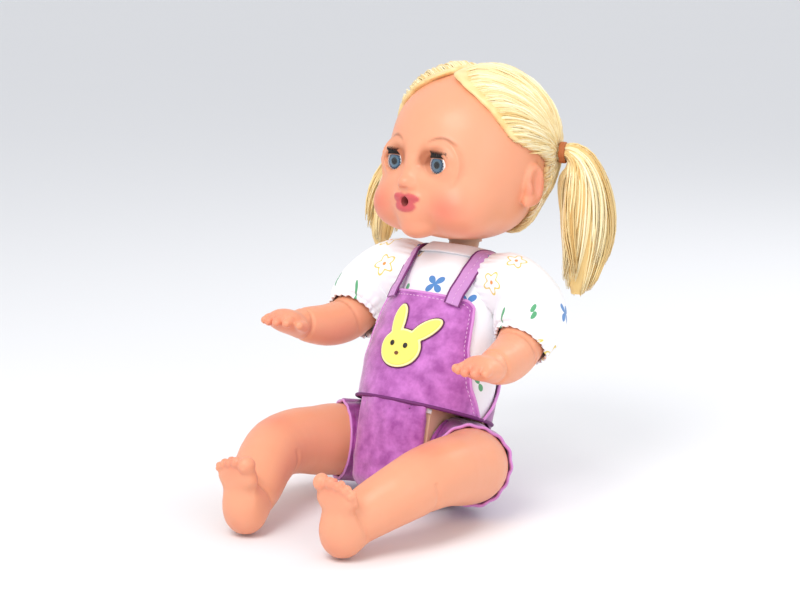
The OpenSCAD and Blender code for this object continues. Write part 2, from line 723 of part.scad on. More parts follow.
function back_edge(z) = lookup(z, [[20, 88], [36, 118], [65, 132]]);
module dungaree_back() {
    color("mediumorchid") on_torso()
        panel(TORSO, bib_bottom, back_top, function (z) [back_edge(z), 360 - back_edge(z)],
            dung_in, dung_out, 8, 20);
}

// A ribbon over the shoulder, lying on the shirt and passing over bib and back
function strap_mid(s) =
    let (p = along(STRAP, s), n = len(STRAP) - 1, rest = min(s, n - s),
        out = shirt_out + 0.3 + (dung_out - shirt_out) * max(0, min(1, 1.6 - rest)))
    [on_skin(TORSO, p[0], p[1], out), on_skin(TORSO, p[0], p[1], out + 1) - on_skin(TORSO, p[0], p[1], out)];
module strap(side) {
    n = len(STRAP) - 1;
    steps = 28;
    color("plum") on_torso() on_side(side) rings([for (i = [0:steps]) let (
        s = n * i / steps, here = strap_mid(s),
        run_on = unit(strap_mid(min(s + 0.1, n))[0] - strap_mid(max(s - 0.1, 0))[0]),
        up = here[1], wide = unit(cross(run_on, up)) * strap_width / 2)
        [here[0] + wide, here[0] - wide, here[0] - wide + 1.2 * up, here[0] + wide + 1.2 * up]]);
}

// Rabbit badge sewn on the bib
module ear_shape() {
    circle(r = 3.8);
    translate([0, 8]) circle(r = 3.8);
    translate([-3.8, 0]) square([7.6, 8]);
}

module badge_shell(in, out) {
    on_torso() panel(TORSO, badge_z - 12, badge_z + 27, function (z) [-44, 44], in, out, 10, 14);
}

module bunny_face() {
    color("khaki") intersection() {
        badge_shell(badge_in, badge_out);
        on_torso() translate([0, 0, badge_z]) rotate([90, 0, 0]) linear_extrude(60) {
            for (x = [-1.9, 1.9]) translate([x, 0]) circle(r = 9.2);
            translate([-1.9, -9.2]) square([3.8, 18.4]);
            translate([-4.6, 8]) ear_shape();
            translate([5, 7]) rotate(-42) ear_shape();
        }
    }
}

module bunny_eyes() {
    color("black") intersection() {
        badge_shell(badge_out + 0.15, badge_out + 0.8);
        on_torso() for (x = [-3.6, 3.6]) translate([x, 0, badge_z + 1]) along_y(-60, 0, 1.15);
    }
}

module bunny_nose() {
    color("sienna") intersection() {
        badge_shell(badge_out + 0.15, badge_out + 0.8);
        on_torso() translate([0, 0, badge_z - 2.9]) along_y(-60, 0, 1.3);
    }
}

torso_front();
torso_back();
neck_plug();
torso_screws();
circuit_board();
sound_chip();
tact_switch();
speaker_frame();
speaker_cone();
speaker_magnet();
battery_box();
battery_cells();
battery_contacts();
battery_cover();
cover_screw();
slide_switch();
switch_knob();
lead_wires();
tummy_button();
button_spring();
head_shell();
mouth_cup();
hair_crown();
ponytail(1);  // left_ponytail
ponytail(-1);  // right_ponytail
hair_tie(1);  // left_hair_tie
hair_tie(-1);  // right_hair_tie
eye_socket(1);  // left_eye_socket
eye_socket(-1);  // right_eye_socket
eyeball(1);  // left_eyeball
iris(1);  // left_iris
cornea(1);  // left_cornea
eyelid(1);  // left_eyelid
lashes(1);  // left_lashes
eye_weight(1);  // left_eye_weight
eyeball(-1);  // right_eyeball
iris(-1);  // right_iris
cornea(-1);  // right_cornea
eyelid(-1);  // right_eyelid
lashes(-1);  // right_lashes
eye_weight(-1);  // right_eye_weight
arm(1);  // left_arm
arm(-1);  // right_arm
sleeve(1);  // left_sleeve
sleeve(-1);  // right_sleeve
leg(1);  // left_leg
leg(-1);  // right_leg
shirt_body();
shirt_collar();
dungaree_shorts();
shorts_leg(1);  // left_shorts_leg
shorts_leg(-1);  // right_shorts_leg
dungaree_bib();
dungaree_back();
strap(1);  // left_strap
strap(-1);  // right_strap
bunny_face();
bunny_eyes();
bunny_nose();
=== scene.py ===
import json
import math

import bpy
import numpy as np
from mathutils import Matrix, Vector


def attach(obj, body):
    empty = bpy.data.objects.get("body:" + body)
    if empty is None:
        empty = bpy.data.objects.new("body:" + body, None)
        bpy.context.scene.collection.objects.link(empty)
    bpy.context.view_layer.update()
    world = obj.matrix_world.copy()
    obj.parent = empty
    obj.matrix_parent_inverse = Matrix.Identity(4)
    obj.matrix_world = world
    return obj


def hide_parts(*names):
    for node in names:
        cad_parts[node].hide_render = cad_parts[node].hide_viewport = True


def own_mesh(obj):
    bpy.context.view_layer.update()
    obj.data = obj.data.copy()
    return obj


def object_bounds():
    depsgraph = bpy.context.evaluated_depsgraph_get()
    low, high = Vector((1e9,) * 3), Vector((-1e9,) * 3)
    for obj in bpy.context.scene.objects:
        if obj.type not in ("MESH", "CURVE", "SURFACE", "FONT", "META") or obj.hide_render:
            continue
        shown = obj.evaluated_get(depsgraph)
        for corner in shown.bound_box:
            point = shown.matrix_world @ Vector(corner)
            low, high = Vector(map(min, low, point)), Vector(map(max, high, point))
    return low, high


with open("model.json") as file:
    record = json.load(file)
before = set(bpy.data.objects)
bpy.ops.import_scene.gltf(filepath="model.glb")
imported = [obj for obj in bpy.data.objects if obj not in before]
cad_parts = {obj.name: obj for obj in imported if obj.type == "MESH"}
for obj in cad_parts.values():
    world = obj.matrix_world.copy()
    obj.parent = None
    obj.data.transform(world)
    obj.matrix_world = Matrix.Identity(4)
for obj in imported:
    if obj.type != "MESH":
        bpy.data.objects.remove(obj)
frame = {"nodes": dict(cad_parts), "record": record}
cad_box = [list(v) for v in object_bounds()]
record = frame["record"]
joints = {j["name"]: j for j in record["behaviour"]["joints"]}
MM = 0.001
rng = np.random.default_rng(7)


# ---------------------------------------------------------------- frames
def basis(x, y, z, origin):
    m = Matrix.Identity(4)
    for i, v in enumerate((x, y, z)):
        for r in range(3):
            m[r][i] = v[r]
    for r in range(3):
        m[r][3] = origin[r]
    return m


X = Vector((1, 0, 0))
t_y = Vector(joints["tummy_press"]["axis"]).normalized()
HIP = joints["left_leg_lower"]["pos_m"]
TORSO_M = basis(X, t_y, X.cross(t_y), Vector((0, HIP[1], HIP[2])))
h_z = Vector(joints["head_turn"]["axis"]).normalized()
h_x = Vector(joints["left_eye_close"]["axis"]).normalized()
HEAD_M = basis(h_x, h_z.cross(h_x), h_z, Vector(joints["head_turn"]["pos_m"]))
EYE = HEAD_M.inverted() @ Vector(joints["left_eye_close"]["pos_m"]) / MM
SWING = {1: 22, -1: 30}


def arm_frame(side):
    p = Vector(joints[("left" if side > 0 else "right") + "_arm_raise"]["pos_m"])
    turn = Matrix.Rotation(math.radians(-SWING[side]), 4, "X")
    return Matrix.Translation(p) @ turn @ Matrix.Diagonal((side, 1, 1, 1))


def leg_frame(side):
    p = Vector(joints[("left" if side > 0 else "right") + "_leg_lower"]["pos_m"])
    return Matrix.Translation(p) @ Matrix.Diagonal((side, 1, 1, 1))


# ---------------------------------------------------------------- meshes
def new_mesh(name, verts, faces, matrix=None, uv=None, attr=None, smooth=True, flip=False):
    """A mesh from points in millimetres in its own frame, and faces of equal size."""
    verts = np.asarray(verts, float).reshape(-1, 3) * MM
    faces = np.asarray(faces, int)
    if flip:
        faces = faces[:, ::-1]
    me = bpy.data.meshes.new(name)
    k = faces.shape[1]
    me.vertices.add(len(verts))
    me.vertices.foreach_set("co", verts.astype(np.float32).ravel())
    me.loops.add(faces.size)
    me.loops.foreach_set("vertex_index", faces.ravel().astype(np.int32))
    me.polygons.add(len(faces))
    me.polygons.foreach_set("loop_start", np.arange(0, faces.size, k, dtype=np.int32))
    me.polygons.foreach_set("loop_total", np.full(len(faces), k, np.int32))
    me.polygons.foreach_set("use_smooth", np.full(len(faces), smooth))
    if uv is not None:
        layer = me.uv_layers.new(name="UVMap")
        layer.data.foreach_set("uv", np.asarray(uv, float)[faces.ravel()].astype(np.float32).ravel())
    for key, val in (attr or {}).items():
        a = me.attributes.new(key, "FLOAT", "POINT")
        a.data.foreach_set("value", np.asarray(val, np.float32))
    me.update()
    me.validate()
    o = bpy.data.objects.new(name, me)
    bpy.context.scene.collection.objects.link(o)
    if matrix is not None:
        if matrix.determinant() < 0:
            me.flip_normals()
        o.matrix_world = matrix
    return o


def nets(f, lo, hi, h, polish=3):
    """The surface f = 0 as quads, by surface nets on a grid of step h."""
    lo, hi = np.array(lo, float), np.array(hi, float)
    n = np.ceil((hi - lo) / h).astype(int) + 1
    axes = [lo[i] + h * np.arange(n[i]) for i in range(3)]
    v = np.empty(n)
    gy, gz = np.meshgrid(axes[1], axes[2], indexing="ij")
    step = max(1, int(400000 / gy.size))
    for i in range(0, n[0], step):
        xs = axes[0][i:i + step]
        p = np.stack([np.repeat(xs, gy.size), np.tile(gy.ravel(), len(xs)), np.tile(gz.ravel(), len(xs))], 1)
        v[i:i + step] = f(p).reshape(len(xs), n[1], n[2])
    neg = v < 0
    count = np.zeros(n - 1, int)
    corners = [(a, b, c) for a in (0, 1) for b in (0, 1) for c in (0, 1)]
    for a, b, c in corners:
        count += neg[a:n[0] - 1 + a, b:n[1] - 1 + b, c:n[2] - 1 + c]
    act = (count > 0) & (count < 8)
    index = np.full(n - 1, -1)
    cells = np.argwhere(act)
    index[act] = np.arange(len(cells))
    pos, cnt = np.zeros((len(cells), 3)), np.zeros(len(cells))
    for ca in corners:
        for ax in range(3):
            if ca[ax]:
                continue
            cb = list(ca)
            cb[ax] = 1
            ia, ib = cells + np.array(ca), cells + np.array(cb)
            va, vb = v[tuple(ia.T)], v[tuple(ib.T)]
            m = (va < 0) != (vb < 0)
            t = va[m] / (va[m] - vb[m])
            q = ia[m].astype(float)
            q[:, ax] += t
            pos[m] += q
            cnt[m] += 1
    verts = lo + h * pos / cnt[:, None]
    faces = []
    for ax in range(3):
        o1, o2 = [(1, 2), (2, 0), (0, 1)][ax]
        sl_a, sl_b = [slice(None)] * 3, [slice(None)] * 3
        sl_a[ax], sl_b[ax] = slice(0, -1), slice(1, None)
        na, nb = neg[tuple(sl_a)], neg[tuple(sl_b)]
        e = np.argwhere(na != nb)
        e = e[(e[:, o1] > 0) & (e[:, o2] > 0) & (e[:, o1] < n[o1] - 1) & (e[:, o2] < n[o2] - 1)]
        d1, d2 = np.zeros(3, int), np.zeros(3, int)
        d1[o1], d2[o2] = 1, 1
        quad = [index[tuple((e - a * d1 - b * d2).T)] for a, b in ((1, 1), (0, 1), (0, 0), (1, 0))]
        quad = np.stack(quad, 1)
        out = na[tuple(e.T)]
        quad[~out] = quad[~out][:, ::-1]
        faces.append(quad)
    faces = np.concatenate(faces)
    faces = faces[(faces >= 0).all(1)]
    for _ in range(polish):
        g = gradient(f, verts, 0.25 * h)
        d = f(verts)
        size = np.maximum((g ** 2).sum(1), 0.2)
        verts = verts - np.clip(d / size, -0.5 * h, 0.5 * h)[:, None] * g
    return verts, faces


def gradient(f, p, e):
    g = np.empty_like(p)
    for i in range(3):
        d = np.zeros(3)
        d[i] = e
        g[:, i] = (f(p + d) - f(p - d)) / (2 * e)
    return g


def smin(a, b, k):
    h = np.clip(0.5 + 0.5 * (b - a) / k, 0, 1)
    return b + (a - b) * h - k * h * (1 - h)


def smax(a, b, k):
    return -smin(-a, -b, k)


def ell(p, c, r):
    q = (p - np.array(c, float)) / np.array(r, float)
    k0 = np.linalg.norm(q, axis=1)
    k1 = np.linalg.norm(q / np.array(r, float), axis=1)
    return k0 * (k0 - 1) / np.maximum(k1, 1e-9)


def ball(p, c, r):
    return np.linalg.norm(p - np.array(c, float), axis=1) - r


def cone(p, a, b, ra, rb):
    a, b = np.array(a, float), np.array(b, float)
    d = b - a
    t = np.clip(((p - a) @ d) / (d @ d), 0, 1)
    return np.linalg.norm(p - a - t[:, None] * d, axis=1) - (ra + (rb - ra) * t)


def gauss(x, w):
    return np.exp(-(x / w) ** 2)


def fold(p, scale, seed, octaves=2):
    """Smooth wandering noise from sums of sine waves."""
    r = np.random.default_rng(seed)
    total = np.zeros(len(p))
    for o in range(octaves):
        for _ in range(5):
            w = r.normal(size=3)
            w = w / np.linalg.norm(w) * (2 ** o) / scale * 2 * math.pi * r.uniform(0.6, 1.3)
            total += np.sin(p @ w + r.uniform(0, 6.28)) / (2 ** o) / 3
    return total


# ---------------------------------------------------------------- section tables, shared by body and clothes
TORSO = np.array([
    [-26, 12, 11, 0], [-22, 22, 18.5, 0], [-13, 28.5, 24, 0], [-2, 31, 26.5, 0],
    [14, 32, 28.5, -1], [38, 32, 28.8, -1.5], [60, 30.5, 26, -1], [78, 28.5, 22, 0],
    [88, 27, 19.5, 0.5], [96, 22, 16.5, 0.5], [102, 14, 12.5, 0]], float)
TOP = 102
ARM = np.array([
    [0.4, 0, 0, 11.5], [9, 0, -0.5, 12], [17, 0, -4.5, 12], [22.5, -1, -12.5, 12],
    [25.5, -3.5, -22, 11.3], [27, -9.5, -31.5, 10.8], [29, -19, -38.5, 10.2],
    [31.5, -29, -42.5, 8.8], [32.5, -35.5, -44.5, 7.2]], float)
SLEEVE = np.array([
    [-9, 0, 0, 9.5], [-6, 0, 0, 13.2], [-2, 0, 0, 14.9], [2.6, 0, 0.2, 15.3], [8, 0, 0, 15.4],
    [16, 0, -2.5, 15], [21.5, 0, -8, 16],
    [25, -1.5, -16, 16.6], [26, -4, -24, 15.4], [26, -6.3, -28.5, 13.4]], float)


BEND_START, BEND_R = 2.4, 20.5      # where the hip's bend starts, and its radius
BEND_TURN, BEND_RISE = 76, 2.6      # degrees that it turns through, and how far the thigh rises over it


def hip_bend(degrees, r):
    """Middle of the leg where it has turned this far from the hip towards the front."""
    a = math.radians(degrees)
    return [BEND_START + BEND_R * math.sin(a), BEND_R * (math.cos(a) - 1), BEND_RISE
        * (degrees / BEND_TURN) ** 2, r]


LEG = np.array([[1.1, 0, 0, 16.8], [2.7, 0, 0, 16.8]] + [hip_bend(a, 17) for a in (12, 28, 44, 60, 76)] + [
    [23.5, -24.5, 3.6, 16.5], [25.5, -38, 6, 15.5], [25, -53, 6, 14.5], [21, -67, 2, 13.5],
    [14.5, -80, -4, 12], [11, -89, -8.5, 10.3], [9, -95, -11, 9.5]], float)
PONYTAIL = np.array([
    [0, 0, 0, 4.3], [2.6, 0, 0, 3.6], [6.6, 0, 0.2, 5.2], [11.6, 1, -4, 8.4],
    [14, 2, -14, 11.8], [15, 2, -29, 13], [15, 2, -46, 12.5], [14, 1, -61, 8], [13, 0, -71, 3]], float)
TAIL_RIGHT = np.array([
    [0, 0, 0, 4.3], [2.6, 0, 0, 3.6], [7, -0.2, 0.2, 5.2], [12.8, -3.2, -3.4, 8.2],
    [18.2, -9, -12.4, 11], [21, -16, -25, 12], [22, -21, -38, 10.5],
    [22, -24, -49, 7], [21, -25, -57, 3]], float)
TAILS = {1: PONYTAIL, -1: TAIL_RIGHT}
STRAP = np.array([
    [71, 33], [80, 35], [90, 42], [96.5, 57], [98.4, 90], [96.5, 123], [89, 138],
    [77, 144], [62, 148]], float)
HAIRLINE = np.array([
    [4, 128], [14, 120], [30, 114], [42, 109], [47, 88], [52, 72], [58, 65], [65, 57], [72, 44],
    [78, 26], [82, 5]], float)
SHIRT_OUT, DUNG_OUT = 1.7, 3.5
ARM_HOLE_R = 12.6
HIP_ROOM_X, HIP_ROOM_R = 19.7, 20.6     # clear space for the leg: from here out, and its radius
HEM_R = 20.1
SOCKET_SKIN_R, SOCKET_SKIN_DEPTH = 11.8, 7.0


def dress(o, material, body, replaced=()):
    """Give a piece its material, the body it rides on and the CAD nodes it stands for."""
    o.data.materials.append(material)
    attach(o, body)
    for node in replaced:
        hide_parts(node)


def smooth(tab, z, k):
    z = np.asarray(z, float)
    i = np.clip(np.searchsorted(tab[:, 0], z, side="right") - 1, 0, len(tab) - 2)
    h = tab[i + 1, 0] - tab[i, 0]
    t = (z - tab[i, 0]) / h
    sl = np.gradient(tab[:, k], tab[:, 0])
    return ((2 * t**3 - 3 * t**2 + 1) * tab[i, k] + (t**3 - 2 * t**2 + t) * h * sl[i]
            + (3 * t**2 - 2 * t**3) * tab[i + 1, k] + (t**3 - t**2) * h * sl[i + 1])


def on_torso(z, turn, out):
    """Points on the torso: height, angle from the front in degrees, distance out."""
    z, turn, out = np.broadcast_arrays(np.asarray(z, float), np.radians(turn), out)
    a, b, c = (smooth(TORSO, z, k) for k in (1, 2, 3))
    e = 0.2
    rise = (smooth(TORSO, np.minimum(z + e, TOP), 1) - smooth(TORSO, np.maximum(z - e, -26), 1)) / (2 * e)
    n = np.stack([b * np.sin(turn), -a * np.cos(turn), -rise * (a + b) / 2], -1)
    n /= np.linalg.norm(n, axis=-1, keepdims=True)
    p = np.stack([a * np.sin(turn), c - b * np.cos(turn), z], -1)
    return p + n * out[..., None]


def along(path, s):
    """Catmull-Rom points at s, counted in rows."""
    path = np.asarray(path, float)
    n = len(path) - 1
    s = np.asarray(s, float)
    i = np.clip(np.floor(s).astype(int), 0, n - 1)
    t = (s - i)[:, None]
    a, b, c, d = path[np.maximum(i - 1, 0)], path[i], path[i + 1], path[np.minimum(i + 2, n)]
    return 0.5 * (2 * b + (c - a) * t + (2 * a - 5 * b + 4 * c - d) * t**2 + (3 * b - a - 3 * c + d) * t**3)


def carry(points, first):
    """Tangents and two cross directions along a line, without twist."""
    t = np.gradient(points, axis=0)
    t /= np.linalg.norm(t, axis=1, keepdims=True)
    u = np.array(first, float)
    us = []
    for k in t:
        u = u - (u @ k) * k
        u /= np.linalg.norm(u)
        us.append(u)
    us = np.array(us)
    return t, us, np.cross(t, us)


def grid_faces(rows, cols, wrap=False):
    i, j = np.meshgrid(np.arange(rows - 1), np.arange(cols if wrap else cols - 1), indexing="ij")
    k = (j + 1) % cols
    return np.stack([i * cols + j, i * cols + k, (i + 1) * cols + k, (i + 1) * cols + j], -1).reshape(-1, 4)


def solidify(o, mm, offset=-1.0):
    m = o.modifiers.new("thickness", "SOLIDIFY")
    m.thickness, m.offset = mm * MM, offset
    return o


def tubes(paths, radii, sides=4, flat=1.0, first=(0.31, 0.2, 0.93)):
    """Tubes round many lines at once: paths (n, m, 3) and radii (n, m)."""
    n, m, _ = paths.shape
    t = np.gradient(paths, axis=1)
    t /= np.maximum(np.linalg.norm(t, axis=2, keepdims=True), 1e-9)
    u = np.cross(t, np.broadcast_to(np.array(first), t.shape))
    u /= np.maximum(np.linalg.norm(u, axis=2, keepdims=True), 1e-9)
    w = np.cross(t, u)
    g = np.arange(sides) * 2 * math.pi / sides
    ring = (u[:, :, None] * np.cos(g)[:, None]
            + w[:, :, None] * np.sin(g)[:, None] * flat) * radii[:, :, None, None]
    verts = (paths[:, :, None] + ring).reshape(-1, 3)
    f = grid_faces(m, sides, wrap=True)
    faces = (f[None] + (np.arange(n) * m * sides)[:, None, None]).reshape(-1, 4)
    ends = []
    if sides == 4:
        base = np.arange(n) * m * sides
        ends = [base[:, None] + np.array([3, 2, 1, 0]),
                base[:, None] + (m - 1) * sides + np.array([0, 1, 2, 3])]
        faces = np.concatenate([faces, *ends])
    return verts, faces


# ---------------------------------------------------------------- materials
def lin(r, g, b):
    return tuple(
        (c / 255 / 12.92 if c / 255 <= 0.04045 else ((c / 255 + 0.055) / 1.055) ** 2.4) for c in (r, g, b)
    ) + (1,)


class Mat:
    def __init__(self, name, color=(0.8, 0.8, 0.8, 1), rough=0.5, **sockets):
        self.m = bpy.data.materials.new(name)
        self.m.use_nodes = True
        self.t = self.m.node_tree
        self.b = self.t.nodes["Principled BSDF"]
        self.b.inputs["Base Color"].default_value = color
        self.b.inputs["Roughness"].default_value = rough
        for k, v in sockets.items():
            self.b.inputs[k.replace("_", " ")].default_value = v

    def n(self, kind, **props):
        node = self.t.nodes.new("ShaderNode" + kind)
        for k, v in props.items():
            setattr(node, k, v)
        return node

    def put(self, socket, value):
        if isinstance(value, bpy.types.NodeSocket):
            self.t.links.new(value, socket)
        else:
            socket.default_value = value

    def math(self, op, a, b=0.0, c=0.0, clamp=False):
        node = self.n("Math", operation=op, use_clamp=clamp)
        for s, v in zip(node.inputs, (a, b, c)):
            self.put(s, v)
        return node.outputs[0]

    def mul(self, a, b):
        return self.math("MULTIPLY", a, b)

    def add(self, a, b):
        return self.math("ADD", a, b)

    def mix(self, fac, a, b):
        node = self.n("Mix", data_type="RGBA")
        self.put(node.inputs[0], fac)
        self.put(node.inputs[6], a)
        self.put(node.inputs[7], b)
        return node.outputs[2]

    def attr(self, name):
        return self.n("Attribute", attribute_name=name).outputs["Fac"]

    def obj(self):
        return self.n("TexCoord").outputs["Object"]

    def noise(self, scale, detail=2.0, rough=0.5, vector=None, dims="3D"):
        node = self.n("TexNoise", noise_dimensions=dims)
        node.inputs["Scale"].default_value = scale
        node.inputs["Detail"].default_value = detail
        node.inputs["Roughness"].default_value = rough
        self.put(node.inputs["Vector"], vector if vector is not None else self.obj())
        return node.outputs["Fac"]

    def ramp(self, fac, stops):
        node = self.n("ValToRGB")
        el = node.color_ramp.elements
        while len(el) < len(stops):
            el.new(0.5)
        for e, (at, c) in zip(el, stops):
            e.position, e.color = at, c
        self.put(node.inputs[0], fac)
        return node.outputs[0]

    def bump(self, height, strength=0.3, distance=0.0005):
        node = self.n("Bump")
        node.inputs["Strength"].default_value = strength
        node.inputs["Distance"].default_value = distance
        self.put(node.inputs["Height"], height)
        self.t.links.new(node.outputs[0], self.b.inputs["Normal"])

    def color(self, socket):
        self.put(self.b.inputs["Base Color"], socket)


SKIN, PINK, LIP = lin(233, 158, 122), lin(222, 108, 92), lin(205, 88, 92)
BROWN, MOUTH_SHADE_PINK = lin(168, 92, 56), lin(178, 82, 84)


def skin_material(name, painted):
    m = Mat(name, SKIN, 0.42, Subsurface_Weight=0.16, Subsurface_Scale=0.004, Specular_IOR_Level=0.45,
            Coat_Weight=0.06, Coat_Roughness=0.3)
    m.b.inputs["Subsurface Radius"].default_value = (1.0, 0.35, 0.2)
    base = m.mix(m.mul(m.noise(60, 2), 0.35), SKIN, lin(240, 172, 138))
    tints = {"blush": PINK}
    if painted:
        # the inner layer is painted shade in the mouth's hole
        tints |= {"shade": BROWN, "lips": LIP, "inner": MOUTH_SHADE_PINK, "brow": lin(150, 84, 50)}
    for layer, tint in tints.items():
        base = m.mix(m.attr(layer), base, tint)
    m.color(base)
    m.bump(m.noise(900, 3), 0.08, 0.0002)
    return m.m


def cloth_material(name, color, rough=0.75, sheen=0.3, **kw):
    return Mat(name, color, rough, Sheen_Weight=sheen, Sheen_Roughness=0.5, **kw)


def weave_bump(m, scale, strength):
    wave = m.n("TexWave", wave_type="BANDS", bands_direction="X")
    wave2 = m.n("TexWave", wave_type="BANDS", bands_direction="Z")
    for w in (wave, wave2):
        w.inputs["Scale"].default_value = scale
        w.inputs["Distortion"].default_value = 0.6
        m.put(w.inputs["Vector"], m.obj())
    m.bump(m.add(wave.outputs["Fac"], wave2.outputs["Fac"]), strength, 0.0002)


def print_material(name):
    """White cotton with a sparse printed pattern of flowers, leaves, butterflies and dashes."""
    m = cloth_material(name, lin(246, 246, 250), 0.8)
    uv = m.n("UVMap", uv_map="UVMap").outputs[0]
    scale = m.n("VectorMath", operation="SCALE")
    m.put(scale.inputs[0], uv)
    scale.inputs["Scale"].default_value = 1 / 0.019
    vor = m.n("TexVoronoi", voronoi_dimensions="2D", feature="F1")
    vor.inputs["Scale"].default_value = 1.0
    vor.inputs["Randomness"].default_value = 0.45
    m.put(vor.inputs["Vector"], scale.outputs[0])
    diff = m.n("VectorMath", operation="SUBTRACT")
    m.put(diff.inputs[0], scale.outputs[0])
    m.put(diff.inputs[1], vor.outputs["Position"])
    sep = m.n("SeparateXYZ")
    m.put(sep.inputs[0], diff.outputs[0])
    kinds = m.n("SeparateColor")
    m.put(kinds.inputs[0], vor.outputs["Color"])
    kind, spin = kinds.outputs[0], kinds.outputs[1]
    r = vor.outputs["Distance"]
    a = m.add(m.math("ARCTAN2", sep.outputs[1], sep.outputs[0]), m.mul(spin, 6.28))

    def petals(k, base, swing):
        return m.add(base, m.mul(m.math("COSINE", m.mul(a, k)), swing))

    def less(x, y, soft=0.02):
        return m.math("DIVIDE", m.math("SUBTRACT", y, x), soft, clamp=True)

    def within(lo, hi):
        return m.mul(m.math("GREATER_THAN", kind, lo), m.math("LESS_THAN", kind, hi))

    flower = less(m.math("ABSOLUTE", m.math("SUBTRACT", r, petals(5, 0.23, 0.06))), 0.035)
    heart = less(r, 0.06)
    wings = less(r, m.add(0.06, m.mul(m.math("ABSOLUTE", m.math("COSINE", m.mul(a, 2))), 0.25)))
    leaf = less(r, m.mul(m.math("POWER", m.math("ABSOLUTE", m.math("COSINE", a)), 3.0), 0.24))
    dash = less(r, m.mul(m.math("POWER", m.math("ABSOLUTE", m.math("COSINE", a)), 9.0), 0.2))
    c = lin(246, 246, 250)
    c = m.mix(m.mul(flower, within(0.0, 0.3)), c, lin(232, 204, 92))
    c = m.mix(m.mul(heart, within(0.0, 0.3)), c, lin(240, 150, 70))
    c = m.mix(m.mul(wings, within(0.3, 0.52)), c, lin(78, 134, 196))
    c = m.mix(m.mul(leaf, within(0.52, 0.7)), c, lin(92, 168, 120))
    c = m.mix(m.mul(dash, within(0.7, 0.82)), c, lin(70, 66, 96))
    m.color(c)
    weave_bump(m, 900, 0.12)
    return m.m


# the first pair is the satin's own colour as lit; the second pair is the same satin darkened as painted shade
ORCHID, SHADED_ORCHID = (lin(158, 66, 156), lin(206, 118, 204)), (lin(120, 22, 112), lin(165, 60, 158))


def purple_material(name, shades, front=None):
    """Satin in two mingled shades; front gives the shades of the part that faces forward. With front, the
    forward part is painted lit and the rest painted in shade.
    """
    m = cloth_material(name, shades[0], 0.5, sheen=0.5)
    n = m.ramp(m.noise(140, 3, 0.6), [(0.35, (0, 0, 0, 1)), (0.7, (1, 1, 1, 1))])
    color = m.mix(n, *shades)
    if front:
        sep = m.n("SeparateXYZ")
        m.put(sep.inputs[0], m.obj())
        lit_front = m.math("DIVIDE", m.math("SUBTRACT", -0.012, sep.outputs[1]), 0.008, clamp=True)
        color = m.mix(lit_front, color, m.mix(n, *front))
    m.color(color)
    weave_bump(m, 1100, 0.18)
    return m.m


def hair_material(name):
    m = Mat(name, lin(240, 215, 150), 0.36, Specular_IOR_Level=0.5, Sheen_Weight=0.15)
    m.b.inputs["Anisotropic"].default_value = 0.5
    tone = m.attr("tone")
    c = m.ramp(tone, [(0.0, lin(186, 132, 66)), (0.25, lin(228, 190, 118)), (0.6, lin(250, 228, 170)),
        (1.0, lin(255, 246, 216))])
    m.color(c)
    return m.m


materials = {
    "skin_face": skin_material("skin_face", True),
    "skin_body": skin_material("skin_body", False),
    "hair": hair_material("hair_strands"),
    "print": print_material("printed_cotton"),
    "purple": purple_material("purple_satin", ORCHID),
    # the next two are the bib's satin with painted shade: all over, and on the shorts all but the forward
    # face, which is painted lit
    "purple_shaded": purple_material("purple_satin_shaded", SHADED_ORCHID),
    "shorts": purple_material("shorts_satin", SHADED_ORCHID, ORCHID),
}


def simple(name, color, rough=0.5, bumpy=None, **kw):
    m = Mat(name, color, rough, **kw)
    v = m.noise(300, 2)
    m.color(m.mix(m.mul(v, 0.25), color, tuple(c * 0.82 for c in color[:3]) + (1,)))
    if bumpy:
        m.bump(m.noise(bumpy, 3), 0.2, 0.0002)
    return m.m


materials.update({
    "white_cloth": simple("white_rib", lin(244, 244, 248), 0.85, 1500, Sheen_Weight=0.3),
    "lilac": simple("lilac_strap", lin(198, 138, 200), 0.6, 1500, Sheen_Weight=0.3),
    "trim": simple("lilac_trim", lin(216, 140, 212), 0.6, 1500, Sheen_Weight=0.3),
    "stitch": simple("stitching", lin(236, 190, 232), 0.6),
    "dark_edge": simple("dark_edge", lin(110, 34, 106), 0.6),
    "band": simple("hair_band", lin(176, 96, 44), 0.6, 900),
    "yellow": simple("yellow_felt", lin(250, 236, 112), 0.9, 1800, Sheen_Weight=0.5),
    "pale_yellow": simple("pale_yellow_edge", lin(252, 244, 176), 0.9, 1800),
    # painted shadow round the badge
    "badge_shadow": simple("badge_painted_shadow", lin(96, 40, 84), 0.8),
    "black_thread": simple("black_thread", lin(26, 20, 24), 0.5),
    "brown_thread": simple("brown_thread", lin(118, 70, 40), 0.6),
    "lash": simple("lash_fibre", lin(18, 14, 14), 0.4),
})


# ---------------------------------------------------------------- head
ex, ey, ez = EYE
EYE_W, EYE_UP, EYE_DOWN = 6.6, 5.8, 4.4


def arc(w, h):
    return (w * w + h * h) / (2 * h)


def eye_hole(u, w, k):
    """Distance outside the almond of an eye's opening, scaled by k."""
    u, w = u / k, w / k
    up, down = arc(EYE_W, EYE_UP), arc(EYE_W, EYE_DOWN)
    return np.maximum(np.hypot(u, w - (EYE_UP - up)) - up, np.hypot(u, w - (down - EYE_DOWN)) - down) * k


def head_base(p):
    x = np.abs(p[:, 0])
    q = np.stack([x, p[:, 1], p[:, 2]], 1)
    f = ell(q, (0, 2.0, 45.5), (39.8, 41.2, 38.2))
    f = smin(f, ell(q, (0, -7.5, 30), (36.8, 35.5, 26)), 9)
    f = smin(f, ell(q, (0, -5, 17), (33, 31, 17)), 9)
    return f


